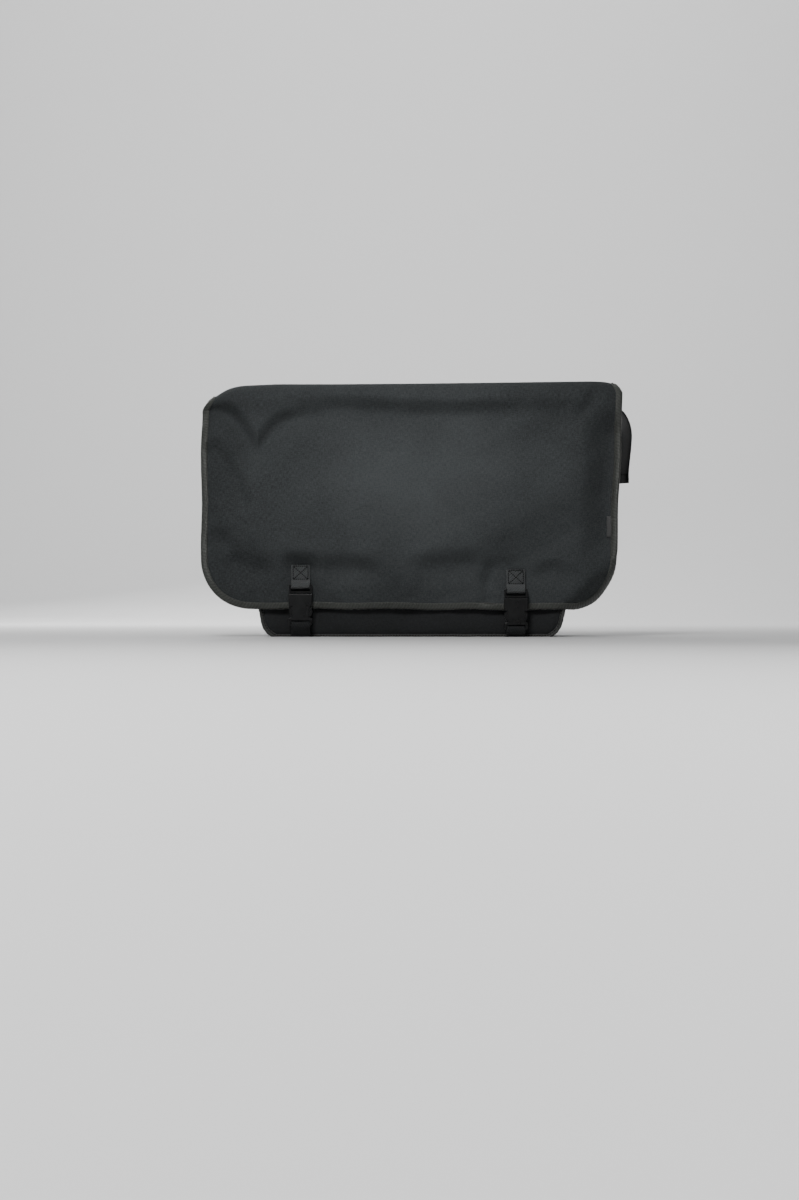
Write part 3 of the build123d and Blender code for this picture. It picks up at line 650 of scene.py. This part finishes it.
def flap_piece(name, s0, s1, cols=171, step=0.0034):
    rows = flap_rows(s0, s1, step)
    half = side_half(rows) - 0.0008
    x = half[:, None] * np.linspace(-1, 1, cols)[None, :]
    s = np.repeat(rows[:, None], cols, 1)
    outer, normal = on_flap(x, s)
    inner = outer - normal * CLOTH
    return two_sided(name, outer, inner, uv_pairs(x, s), [canvas, lining_cloth])


flap_back = flap_piece("flap_cloth_back", 0.0005, MID)
flap_main = flap_piece("flap_cloth_front", MID, S4 - 0.0004)


def outline(s0, s1, inset, step=0.0024):
    """Cloth coordinates along one side and the lower edge, inset from the cloth's edge."""
    pts = []
    for s in np.arange(s0, S4 - CORNER, step):
        if s > s1:
            break
        pts.append((float(side_half(s)) - inset, s))
    if s1 > S4 - CORNER:
        cx, cs = FRONT_HALF - CORNER, S4 - CORNER
        r = CORNER - inset
        for a in np.linspace(0, math.pi / 2, 44):
            pts.append((cx + r * math.cos(a), cs + r * math.sin(a)))
        right = np.array(pts)
        flat = np.linspace(cx, -cx, 190)[1:-1]
        low = np.stack([flat, np.full(len(flat), S4 - inset)], 1)
        left = right[::-1] * np.array([-1, 1])
        return np.concatenate([right, low, left])
    return np.array(pts)


def tape_round(name, s0, s1, mirror=1, width=0.0078):
    """Grosgrain tape folded over the edge of the flap, slightly puckered by its stitches."""
    # inset from the cloth's edge, and height over the cloth, of each line of the tape
    profile = [
        (width, 0.0006), (width * 0.86, 0.0011), (width * 0.5, 0.0014),
        (width * 0.16, 0.0013), (-0.0004, 0.0006), (-0.0013, -0.0012),
    ]  # fmt: skip
    lines = [outline(s0, s1, inset) for inset, _ in profile]
    count = len(lines[0])
    t = np.arange(count)[:, None] * 0.0024
    pucker = 0.00022 * np.sin(t * 2 * math.pi / 0.0072)
    pucker = pucker + 0.0003 * np.sin(t * 2 * math.pi / 0.041 + 1)
    above, below = [], []
    for line, (_, up) in zip(lines, profile):
        p, n = on_flap(line[:, 0] * mirror, line[:, 1])
        above.append(p + n * (up + pucker * (1 if up > 0 else 0)))
        below.append(p - n * (CLOTH + up + pucker))
    ring = np.stack(above + below[-2::-1], 1)
    cols = ring.shape[1]
    uv = uv_pairs(lengths(ring[count // 2])[None, :], lengths(ring[:, 2])[:, None])
    faces = quads(count, cols, wrap=True, flip=mirror < 0)
    first, last = list(range(cols)), list(range((count - 1) * cols, count * cols))
    faces += [first[::mirror], last[::-mirror]]
    return mesh_object(name, ring, faces, grosgrain, uv)


def tape_stitches(name, s0, s1, mirror=1):
    line = outline(s0, s1, 0.0058)
    p, n = on_flap(line[:, 0] * mirror, line[:, 1])
    runs = [(p + n * 0.00125, n), (p - n * (CLOTH + 0.0011), -n)]
    return stitches(name, runs, tape_thread)


seam_x = np.linspace(-0.2555, 0.2555, 260)
seam_runs = [on_flap(seam_x, s) for s in (MID - 0.003, MID + 0.003)]
back_topstitch = stitches("flap_back_topstitch", seam_runs, thread_mat)

# the tapes meet behind the front bend, where the drooping corner doesn't turn with it
TAPE_JOIN = S2 - 0.026
tape_front = tape_round("flap_tape_front", TAPE_JOIN, S4)
tape_front_stitch = tape_stitches("flap_tape_front_stitches", TAPE_JOIN + 0.0015, S4)
top_tapes, top_tape_stitches = [], []
for side, mirror in (("left", -1), ("right", 1)):
    top_tapes.append(tape_round(f"flap_tape_top_{side}", 0.004, TAPE_JOIN + 0.0015, mirror))
    top_tape_stitches.append(
        tape_stitches(f"flap_tape_top_{side}_stitches", 0.006, TAPE_JOIN - 0.0015, mirror)
    )

# --- the bag body
MOUTH_Z, BACK_Y, BASE_R = 0.326, 0.095, 0.02
# thickness of the wall with its lining, and of the pad in the back
WALL, PAD = 0.0044, 0.006


def body_half(z):
    return 0.195 + 0.067 * z / MOUTH_Z


def body_front(z):
    return -BACK_Y + 0.015 * z / MOUTH_Z


def base_round(z):
    """Share of the base's rounding that a level still draws in."""
    drop = np.clip((BASE_R - z) / BASE_R, 0, 1)
    return 1 - math.sqrt(max(1 - drop**2, 0))


def body_ring(z, inset, count):
    """One level of the body: a rounded rectangle, inset all round."""
    rounding = base_round(z)
    hw = body_half(z) - inset - BASE_R * rounding
    y0 = body_front(z) + inset + 0.009 * rounding
    y1 = BACK_Y - (PAD if inset else 0.0) - inset - 0.009 * rounding
    r = max(0.0065 - 0.5 * inset, 0.003)
    right, front, back = hw - r, y0 + r, y1 - r
    pts = []
    corners = ((right, front), (right, back), (-right, back), (-right, front))
    for (cx, cy), start in zip(corners, (-90, 0, 90, 180)):
        for a in np.linspace(start, start + 90, 9):
            t = math.radians(a)
            pts.append((cx + r * math.cos(t), cy + r * math.sin(t)))
    pts.append(pts[0])
    ring, _ = resample(pts, 0.001)
    far = lengths(ring)
    # each level starts at the same corner, so that the levels line up
    at = np.linspace(0, far[-1], count, endpoint=False)
    ring = np.stack([np.interp(at, far, ring[:, k]) for k in range(2)], 1)
    return ring, hw, y0, y1


def body_level(z, inset, count=320):
    """One level of the cloth, with the folds and sags of its walls."""
    ring, hw, y0, y1 = body_ring(z, inset, count)
    x, y = ring[:, 0].copy(), ring[:, 1].copy()
    up = np.clip(z / MOUTH_Z, 0, 1)
    live = smoothstep(0.0, 0.06, z)
    side = np.clip((np.abs(x) - (hw - 0.014)) / 0.012, 0, 1)
    across = np.clip((y - (y0 + y1) / 2) / ((y1 - y0) / 2), -1, 1)
    # the gussets fold inwards down their middle, and ripple a little
    fold = 0.015 * up**1.2 * np.exp(-((across / 0.42) ** 2))
    fold = fold - 0.003 * live * np.exp(-(((np.abs(across) - 0.62) / 0.2) ** 2))
    ripple = 0.0016 * np.sin(z * 70 + 5 * across) * np.sin(across * 5 + z * 18 + 0.6)
    x = x - np.sign(x) * side * live * (fold + ripple)
    # the front and back panels sag between their seams
    out = np.clip(1 - (x / hw) ** 2, 0, 1)
    back = y > 0
    wave = 0.0009 * np.sin(x * 33 + z * 21) * np.sin(z * 41 - x * 12 + 1.7)
    # the padded back is sewn through in three rows; the front bulges over the load
    row = np.abs(np.sin(np.pi * np.clip((z - BASE_R) / 0.292, 0, 1) * 4))
    side_fade = np.clip((hw - 0.016 - np.abs(x)) / 0.02, 0, 1)
    quilt = (0.0034 * row**0.6 - 0.0004) * side_fade * (z > BASE_R)
    dent = 0.0016 * np.sin(x * 46 + 9 * z) ** 2 * (1 - row)
    front = 0.0058 * out * np.sin(np.pi * up) ** 1.3 + 1.6 * wave
    if inset:
        swell = np.where(back, -0.6 * (0.0022 * row**0.6) * side_fade, front * 0.6)
    else:
        swell = np.where(back, quilt - dent * 0.4 + 0.5 * wave, front)
    y = y + np.where(back, 1, -1) * (1 - side) * swell * live
    # the mouth slumps at its front left corner
    slump = 0.0125 * np.clip((BACK_Y - y) / (2 * BACK_Y), 0, 1)
    slump = slump * smoothstep(0.215, 0.262, -x) * smoothstep(0.2, MOUTH_Z, z)
    return np.stack([x, y, z - slump], -1)


RIM_Z = MOUTH_Z + 0.0002
base_levels = np.maximum(BASE_R * (1 - np.cos(np.linspace(0, math.pi / 2, 10))), 0.0)
levels = np.concatenate([base_levels, np.arange(0.024, RIM_Z, 0.0038), [RIM_Z]])


def body_skin(name, mat, inset, base_z, flip):
    """A wall of levels closed by a base at base_z, as one surface."""
    lifts = [base_z * np.clip(1 - (z - BASE_R) / 0.1, 0, 1) for z in levels]
    wall = np.stack([body_level(z + lift, inset) for z, lift in zip(levels, lifts)])
    first = wall[0]
    centre = np.array([0, first[:, 1].mean(), first[0, 2]])
    base = np.stack([centre + (first - centre) * k for k in (0.06, 0.2, 0.4, 0.6, 0.78, 0.9)])
    grid = np.concatenate([base, wall])
    rows, cols = grid.shape[:2]
    uv = uv_pairs(lengths(wall[len(wall) // 2])[None, :], lengths(grid[:, 0])[:, None])
    uv[: len(base)] = base[:, :, :2]
    faces = quads(rows, cols, wrap=True, flip=flip)
    faces.append(range(cols) if flip else range(cols - 1, -1, -1))
    return mesh_object(name, grid, faces, mat, uv)


# the body wears the canvas with painted shade
body_cloth = body_skin("body_cloth", canvas_painted_shade, 0.0, 0.0, False)
body_lining = body_skin("body_lining", lining_cloth, WALL, 0.0068, True)


def rim_tape():
    """Binding folded over the mouth of the bag, and its stitches."""
    a, b = body_level(RIM_Z, 0.0), body_level(RIM_Z, WALL)
    low, low_in = body_level(RIM_Z - 0.009, 0.0), body_level(RIM_Z - 0.009, WALL)
    out = unit((a - b) * np.array([1, 1, 0]))
    up = np.array([0, 0, 1.0])
    pucker = 0.00025 * np.sin(np.arange(len(a)) * 1.9)[:, None]

    def face(foot, top, away):
        """Lines of one face of the tape, from its foot up to the rim."""
        return [
            foot + away * 0.0006,
            foot * 0.85 + top * 0.15 + away * (0.0012 + pucker),
            foot * 0.4 + top * 0.6 + away * (0.0014 + pucker),
            top + away * 0.0012,
            top + up * 0.0012 + away * 0.0004,
        ]

    rows = [*face(low, a, out), (a + b) / 2 + up * 0.0017, *face(low_in, b, -out)[::-1]]
    uv = uv_pairs(np.arange(len(rows))[:, None] * 0.002, lengths(a)[None, :])
    faces = quads(len(rows), len(a), wrap=True)
    tape = mesh_object("mouth_tape", rows, faces, grosgrain, uv)
    seam = low * 0.75 + a * 0.25 + out * 0.0015
    return tape, stitches("mouth_stitches", [(seam, out)], tape_thread)


mouth_tape, mouth_stitch = rim_tape()


def seam_tape(name, back):
    """The taped seam standing along the edge between the gusset and one panel."""
    facing = 1.0 if back else -1.0
    base_zs = 0.0215 - 0.02 * np.sin(np.linspace(0.05, 1.0, 16) * math.pi / 2)
    side_pts = []
    for z in (*np.linspace(0.318, 0.024, 120), *base_zs):
        rounding = base_round(z)
        y = (BACK_Y if back else body_front(z)) - facing * 0.009 * rounding * 0.4
        half = body_half(z) - BASE_R * rounding
        side_pts.append((half - 0.0022, y - facing * 0.0022, z))
    side_pts = np.array(side_pts)
    end = side_pts[-1]
    low = np.linspace(end[0], -end[0], 130)[1:-1]
    bottom = np.array([(x, end[1], end[2]) for x in low])
    left = side_pts[::-1] * np.array([-1, 1, 1])
    path, far = resample(np.concatenate([side_pts, bottom, left]), 0.0026)
    along = unit(np.gradient(path, axis=0))
    face = np.array([0, facing, 0])
    sideways = unit(np.cross(along, face)) * facing
    # fins point outwards, half way between the panel and the gusset
    fin = unit(sideways * 0.75 + face * 0.66)
    over = unit(np.cross(along, fin))
    wave = 0.00035 * np.sin(far * 2 * math.pi / 0.008) + 0.0005 * np.sin(far * 2 * math.pi / 0.06)
    # reach along the fin, height over it and distance round it, of each line of the tape
    section = [
        (-0.001, 0.0021, 0), (0.0026, 0.0021, 0.0035), (0.0044, 0.0016, 0.0055),
        (0.0052, 0.0, 0.0075), (0.0044, -0.0016, 0.0095), (0.0026, -0.0021, 0.0115),
        (-0.001, -0.0021, 0.015),
    ]  # fmt: skip
    rows = [path + fin * a + over * (b + wave[:, None] * (a > 0)) for a, b, _ in section]
    ring = np.stack(rows, 1)
    ring[:, :, 2] = np.maximum(ring[:, :, 2], 0.0002)
    uv = uv_pairs(np.array([c for _, _, c in section])[None, :], far[:, None])
    faces = quads(len(path), len(section), wrap=True, flip=not back)
    obj = mesh_object(name, ring, faces, grosgrain_dark, uv)
    line = path + fin * 0.0016
    runs = [(line + over * 0.0022, over), (line - over * 0.0022, -over)]
    return obj, stitches(name + "_stitches", runs, thread_mat)


front_seam, front_seam_stitch = seam_tape("front_seam_tape", False)
back_seam, back_seam_stitch = seam_tape("back_seam_tape", True)

# --- webbing and buckles
straight_x = np.array([1.0, 0.0, 0.0])
WEB_W, WEB_T = 0.025, 0.00165
# fineness of the side views along which webbing is laid
ROUTE_STEP = 0.0012


def box_cross(name, cx, y, facing, half, low, high):
    """A box with a cross, stitched on webbing that faces forwards (-1) or back (1)."""
    left, right = cx - half, cx + half
    box = [(left, low), (right, low), (right, high), (left, high), (left, low), (right, high)]
    runs = []
    for line in (box, [(right, low), (left, high)]):
        for p, q in zip(line, line[1:]):
            xz, _ = resample([p, q], 0.0006)
            points = np.stack([xz[:, 0], np.full(len(xz), y), xz[:, 1]], 1)
            runs.append((points, np.tile((0.0, facing, 0.0), (len(xz), 1))))
    return stitches(name, runs, thread_mat, length=0.0024, pitch=0.0028, radius=0.00052)


tabs, straps, tab_stitches = [], [], []
for side, cx, dz in BUCKLES:
    bar_z = 0.0682 + dz
    half = 0.0009
    face = -0.10135
    # two layers sewn to the flap, folded round the bar of the plug
    layer1, layer2 = face - half - 0.0002, face - 3 * half - 0.0003
    route = [
        (layer1, 0.0962 + dz), (layer1, 0.088 + dz), (layer1, 0.079 + dz), (layer1, 0.0745 + dz),
        (-0.1036, bar_z + 0.0036), (-0.1045, bar_z + 0.0008), (-0.1048, bar_z - 0.0015),
        (-0.106, bar_z - 0.0032), (-0.1085, bar_z - 0.0035), (-0.111, bar_z - 0.0032),
        (-0.1122, bar_z - 0.0014), (-0.1124, bar_z + 0.001), (-0.1108, bar_z + 0.0034),
        (-0.1074, bar_z + 0.0056), (layer2 - 0.0003, bar_z + 0.0078),
        (layer2, 0.0805 + dz), (layer2, 0.088 + dz), (layer2, 0.0958 + dz),
    ]  # fmt: skip
    yz, _ = smooth_path(route, ROUTE_STEP)
    wide = (1.0, 0.0, 0.02 if side == "left" else -0.015)
    tabs.append(ribbon(f"{side}_tab_webbing", at_x(cx, yz), wide, WEB_W, WEB_T, webbing))
    outer_y = layer2 - half - 0.00005
    cross = (f"{side}_tab_stitches", cx, outer_y, -1.0, 0.0098, 0.0765 + dz, 0.094 + dz)
    tab_stitches.append(box_cross(*cross))
    # webbing from the base seam, folded round the bar of the socket
    bar_z = 0.0168 + dz
    sink = (0.013 + dz) / 0.013
    route = [
        (-0.0974, 0.0014), (-0.0996, 0.0055 * sink), (-0.103, 0.0105 * sink),
        (-0.1044, bar_z - 0.0024), (-0.1047, bar_z + 0.001), (-0.106, bar_z + 0.0031),
        (-0.1085, bar_z + 0.0034), (-0.111, bar_z + 0.0031), (-0.1122, bar_z + 0.0014),
        (-0.1124, bar_z - 0.0012), (-0.1112, bar_z - 0.0046), (-0.107, 0.0078 * sink),
        (-0.103, 0.0042 * sink), (-0.1012, 0.0018),
    ]  # fmt: skip
    yz, _ = smooth_path(route, ROUTE_STEP)
    yz[:, 1] = np.maximum(yz[:, 1], 0.001)
    strap = ribbon(f"{side}_base_webbing", at_x(cx, yz), straight_x, WEB_W, WEB_T, webbing_painted_shade)
    straps.append(strap)

# --- shoulder strap
PIVOT_Y, PIVOT_Z = 0.118, 0.298
STRAP_W, STRAP_T = 0.032, 0.0021
# the two legs of the strap hang here, half turn into its lower loop between these heights
LEG_X, LEG_Y = 0.215, PIVOT_Y - 0.0016
TURN_TOP, TURN_LOW = 0.236, 0.15
LOOP_X, LOOP_DEPTH = 0.208, 0.142


def strap_line():
    """Centre line and width direction of the strap, from the ring round to the adjuster."""
    centres, widths = [], []

    def twist(turn, p, q, start):
        """A quarter turn of the webbing on its way from p to q."""
        for t in turn:
            a = math.radians(start + 90 * smoothstep(0, 1, t))
            centres.append([c + (d - c) * t for c, d in zip(p, q)])
            widths.append((math.cos(a), math.sin(a), 0.0))

    for z in np.linspace(0.262, TURN_TOP, 9):
        centres.append((-LEG_X, LEG_Y, z))
        widths.append((1.0, 0.0, 0.0))
    turn = np.linspace(0, 1, 41)
    twist(turn[1:], (-LEG_X, LEG_Y, TURN_TOP), (-LOOP_X, PIVOT_Y, TURN_LOW), 0)
    for a in math.pi * np.linspace(1, 2, 161)[1:-1]:
        wobble = 0.0012 * math.sin(3 * a) * math.sin(a)
        z = TURN_LOW + LOOP_DEPTH * math.sin(a)
        centres.append((LOOP_X * math.cos(a), PIVOT_Y + wobble, z))
        widths.append((0.0, 1.0, 0.06 * math.sin(2 * a)))
    twist(turn, (LOOP_X, PIVOT_Y, TURN_LOW), (LEG_X, LEG_Y, TURN_TOP), 90)
    for z in np.linspace(TURN_TOP, 0.283, 20)[1:]:
        centres.append((LEG_X, LEG_Y, z))
        widths.append((-1.0, 0.0, 0.0))
    return centres, widths


strap_main = ribbon("strap_webbing", *strap_line(), STRAP_W, STRAP_T, webbing_painted_shade)
# the sewn fold round the ring's bar
BAR_Z, FOLD_R = 0.274, 0.0037
fold_y = LEG_Y + STRAP_T
fold = [(fold_y, 0.2405), (fold_y, 0.25), (fold_y + 0.0004, 0.26)]
for a in np.radians(np.linspace(-10, 190, 15)):
    fold.append((PIVOT_Y + FOLD_R * math.cos(a), BAR_Z + FOLD_R * math.sin(a)))
fold += [(LEG_Y - 0.0016, 0.268), (LEG_Y, 0.2625)]
yz, _ = smooth_path(fold, ROUTE_STEP)
strap_fold = ribbon(
    "strap_fold_webbing", at_x(-LEG_X, yz), straight_x, STRAP_W, STRAP_T, webbing_painted_shade
)
fold_out = LEG_Y + 1.5 * STRAP_T + 0.0001
strap_stitch = box_cross("strap_fold_stitches", -LEG_X, fold_out, 1.0, 0.0125, 0.2425, 0.26)

# the free end runs behind the adjuster, bends past the bag and curls over
TAIL_Y = PIVOT_Y + 0.0094
CURL_Y = TAIL_Y - 0.0086
TAIL_TURN = 27
TAIL_BEND = (
    (0.238, TAIL_Y, 0.298), (0.246, TAIL_Y - 0.001, 0.2984), (0.256, TAIL_Y - 0.0038, 0.3),
    (0.266, TAIL_Y - 0.007, 0.3032), (0.2755, CURL_Y, 0.308),
)  # fmt: skip
TAIL_CURL = (
    (0.2755, 0.308), (0.2835, 0.316), (0.29, 0.3172), (0.2958, 0.3115), (0.2998, 0.302),
    (0.3018, 0.288), (0.3012, 0.268), (0.2992, 0.248), (0.2974, 0.23), (0.2974, 0.213),
)  # fmt: skip


def tail_line():
    """Centre line and width direction of the free end."""
    centres = [(x, TAIL_Y, PIVOT_Z) for x in np.linspace(0.206, 0.238, 20)]
    widths = [(0.0, 0.0, 1.0)] * len(centres)
    path, far = smooth_path(TAIL_BEND, ROUTE_STEP)
    for p, t in zip(path[1:], far[1:] / far[-1]):
        a = math.radians(90 * smoothstep(0, 1, t))
        centres.append(tuple(p))
        widths.append((0.0, math.sin(a), math.cos(a)))
    path, far = smooth_path(TAIL_CURL, 0.0016)
    for (x, z), t in zip(path[1:], far[1:] / far[-1]):
        a = math.radians(TAIL_TURN * smoothstep(0.08, 0.5, t))
        centres.append((x, CURL_Y, z))
        widths.append((-math.sin(a), math.cos(a), 0.0))
    return np.array(centres), np.array(widths)


centres, widths = tail_line()
tail = ribbon("strap_tail_webbing", centres, widths, STRAP_W, STRAP_T, webbing_painted_shade)
end, way = centres[-9:], widths[-9:]
inward = unit(np.cross(way, [0.0, 0.0, 1.0]))
hem_line = end - inward * STRAP_T * np.sign(inward[:, :1])
hem = ribbon("strap_tail_hem", hem_line, way, STRAP_W * 0.985, STRAP_T, webbing_painted_shade)

# webbing that anchors the ring's and the adjuster's bar to the back, on a patch
PATCH_W, PATCH_LOW, PATCH_HIGH = 0.04, 0.232, 0.292
patch_mid, patch_rise = (PATCH_LOW + PATCH_HIGH) / 2, (PATCH_HIGH - PATCH_LOW) / 2
anchors, anchor_stitches, patches = [], [], []
for side, sign in (("left", -1), ("right", 1)):
    cx = sign * LEG_X
    pivot, leave = np.array([PIVOT_Y, PIVOT_Z]), np.array([0.1035, 0.2835])
    route = [(0.0976, 0.2425), (0.0976, 0.262), (0.0978, 0.2745), tuple(leave)]
    lead = unit(pivot - leave)
    normal = np.array([-lead[1], lead[0]])
    for a in np.radians(np.linspace(150, -150, 19)):
        route.append(tuple(pivot + 0.0038 * (lead * math.cos(a) + normal * math.sin(a))))
    route += [(0.1062, 0.2835), (0.1002, 0.2735), (0.0998, 0.262), (0.0998, 0.244)]
    yz, _ = smooth_path(route, ROUTE_STEP)
    anchors.append(
        ribbon(f"{side}_anchor_webbing", at_x(cx, yz), straight_x, STRAP_W, 0.0019, webbing_painted_shade)
    )
    cross = (f"{side}_anchor_stitches", cx, 0.1008, 1.0, 0.0125, 0.246, 0.27)
    anchor_stitches.append(box_cross(*cross))
    u, v = np.meshgrid(
        np.linspace(-PATCH_W / 2, PATCH_W / 2, 15), np.linspace(PATCH_LOW, PATCH_HIGH, 21)
    )
    edge = np.maximum(np.abs(u) / (PATCH_W / 2), np.abs(v - patch_mid) / patch_rise)
    outer = np.stack([u + cx, 0.0966 - 0.0006 * edge**8, v], -1)
    inner = outer - np.array([0, 0.0012, 0])
    cloths = [canvas_painted_shade] * 2
    patches.append(two_sided(f"{side}_patch_cloth", outer, inner, uv_pairs(u, v), cloths))

# --- inside
POCKET_HALF, POCKET_LOW, POCKET_HIGH, POCKET_Y = 0.112, 0.096, 0.266, 0.0845
pocket_x = np.linspace(-POCKET_HALF, POCKET_HALF, 57)
u, v = np.meshgrid(pocket_x, np.linspace(POCKET_LOW, POCKET_HIGH, 44))
edge = np.clip((POCKET_HALF - np.abs(u)) / 0.014, 0, 1) * np.clip((v - POCKET_LOW) / 0.014, 0, 1)
across = 0.82 + 0.18 * np.sin(np.pi * (u / (2 * POCKET_HALF) + 0.5))
bow = 0.0115 * (1 - (1 - edge) ** 2) * across
outer = np.stack([u, POCKET_Y - bow, v], -1)
inner = outer + np.array([0, 0.0012, 0])
pocket = two_sided("slip_pocket_cloth", outer, inner, uv_pairs(u, v), [lining_cloth] * 2)
hem_line = [(x, POCKET_Y - sag, POCKET_HIGH - 0.001) for x, sag in zip(pocket_x, bow[-1])]
pocket_hem = ribbon(
    "slip_pocket_hem", hem_line[1:-1], (0.0, 0.0, 1.0), 0.01, 0.0026, grosgrain_dark
)

# small blank tag beside the right binding
TAG_X, TAG_HALF, TAG_LOW, TAG_HIGH = 0.269, 0.0033, 0.133, 0.161
tag_x, tag_z = np.linspace(-TAG_HALF, TAG_HALF, 7), np.linspace(TAG_LOW, TAG_HIGH, 15)
u, v = np.meshgrid(tag_x, tag_z)
p, n = on_flap(TAG_X + u, S3 + (BEND_Z - v))
lift = 0.0009 + 0.0004 * np.sin((v - TAG_LOW) / (TAG_HIGH - TAG_LOW) * math.pi)
outer = (p + n * lift[..., None])[::-1]
inner = outer + np.array([0.0, 0.0006, 0.0])
tag = two_sided("side_tag", outer, inner, uv_pairs(u, v)[::-1], [label_cloth] * 2)

# --- CAD pieces kept
kept = {
    plastic: [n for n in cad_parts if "buckle" in n] + ["cam_lever"],
    black_metal: ["strap_ring", "cam_frame"],
    steel: ["cam_pin"],
    board_plastic: ["base_board"],
}
for mat, names in kept.items():
    for name in names:
        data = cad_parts[name].data
        data.materials.clear()
        data.materials.append(mat)

# --- who rides on what
top_edges = [*top_tapes, *top_tape_stitches]
seams = [mouth_tape, mouth_stitch, front_seam, front_seam_stitch, back_seam, back_seam_stitch]
strap_pieces = [strap_main, strap_fold, strap_stitch, tail, hem]
bar_webbing = [*anchors, *anchor_stitches]
for piece in (flap_back, *top_edges, back_topstitch):
    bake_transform(piece)
for piece in (flap_main, tape_front, tape_front_stitch):
    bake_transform(piece)
for piece in (*tabs, *tab_stitches, tag):
    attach(piece, "flap_front")
shell = [body_cloth, body_lining, *seams, pocket, pocket_hem]
for piece in (*shell, *straps, *bar_webbing, *patches):
    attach(piece, "bag_body")
for piece in strap_pieces:
    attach(piece, "shoulder_strap_body")

stands_for = [
    (flap_back, "flap_top_panel", "flap_top_lining"),
    (flap_main, "flap_front_panel", "flap_front_lining"),
    (tape_front, "flap_front_binding"),
    (tag, "side_label"),
    (body_cloth, "front_panel", "back_panel", "base_panel", "left_gusset", "right_gusset"),
    (body_lining, "liner", "back_pad"),
    (mouth_tape, "mouth_binding"),
    (front_seam, "front_seam_binding"),
    (back_seam, "back_seam_binding"),
    (pocket, "inner_pocket"),
    (strap_main, "shoulder_strap"),
    (tail, "strap_tail"),
]
for k, side in enumerate(("left", "right")):
    stands_for += [
        (top_tapes[k], f"flap_top_{side}_binding"),
        (tabs[k], f"{side}_flap_tab"),
        (straps[k], f"{side}_base_strap"),
        (anchors[k], f"{side}_strap_anchor"),
        (patches[k], f"{side}_anchor_patch"),
    ]
for piece, *nodes in stands_for:
    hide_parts(*nodes)


def declare_ribbon(piece, width, held, **more):
    """Reads a ribbon's points and does nothing more with them."""
    flat = np.zeros(len(piece.data.vertices) * 3)
    piece.data.vertices.foreach_get("co", flat)


for piece in (*tabs, *straps):
    declare_ribbon(piece, WEB_W, "folded")
for piece in (*anchors, strap_fold):
    declare_ribbon(piece, STRAP_W, "folded")
declare_ribbon(strap_main, STRAP_W, "hung", rests_on=["strap_ring", "cam_frame"])
declare_ribbon(tail, STRAP_W, "hung", rests_on=["cam_frame"], with_pieces=[hem])

# --- floor, light and camera
floor_mat = shader("floor", (0.62, 0.62, 0.62), 0.8)[0]
FLOOR_HALF, SWEEP_Y, SWEEP_R, WALL_TOP = 45.0, 2.2, 1.6, 14
sweep = [(-FLOOR_HALF, 0)]
for a in np.linspace(0, math.pi / 2, 14):
    sweep.append((SWEEP_Y + SWEEP_R * math.sin(a), SWEEP_R * (1 - math.cos(a))))
sweep.append((SWEEP_Y + SWEEP_R, WALL_TOP))
floor_points = [(x, y, z) for y, z in sweep for x in (-FLOOR_HALF, FLOOR_HALF)]
floor = mesh_object("floor", floor_points, quads(len(sweep), 2), floor_mat)


def area_light(name, place, target, energy, size_x, size_y, spread=180):
    data = bpy.data.lights.new(name, "AREA")
    data.shape = "RECTANGLE"
    data.size, data.size_y = size_x, size_y
    data.energy = energy
    data.spread = math.radians(spread)
    obj = placed(name, data)
    obj.location = place
    obj.rotation_mode = "QUATERNION"
    obj.rotation_quaternion = (Vector(target) - Vector(place)).to_track_quat("-Z", "Y")


area_light("key", (-0.38, -1.8, 1.66), (-0.02, -0.1, 0.23), 39, 0.6, 0.45)
area_light("near_floor", (0.0, -3.1, 2.6), (0.0, -3.1, 0.0), 70, 4.0, 1.8, spread=90)
area_light("fill", (2.4, -2.8, 0.9), (0, 0, 0.15), 2, 1.6, 1.2)
area_light("top", (0.1, 0.2, 2.4), (0, 0, 0.2), 2, 1.2, 0.9)
area_light("rear", (-0.9, 2.2, 1.0), (0, 0.1, 0.2), 30, 1.4, 1.0)
area_light("backdrop", (0.0, 1.6, 2.6), (0, 3.6, 0.9), 120, 3.5, 0.8)
world = bpy.data.worlds.new("studio")
bpy.context.scene.world = world
world.use_nodes = True
sky = world.node_tree.nodes["Background"]
sky.inputs["Color"].default_value = (0.94, 0.97, 1.0, 1)
sky.inputs["Strength"].default_value = 0.12

lens = bpy.data.cameras.new("camera")
lens.lens = 85.0
lens.sensor_width = 36.0
lens.clip_start, lens.clip_end = 0.1, 100.0
camera = placed("camera", lens)
camera.location = (-0.0166, -3.869, 0.049)
camera.rotation_euler = (math.pi / 2, 0, 0)
bpy.context.scene.camera = camera
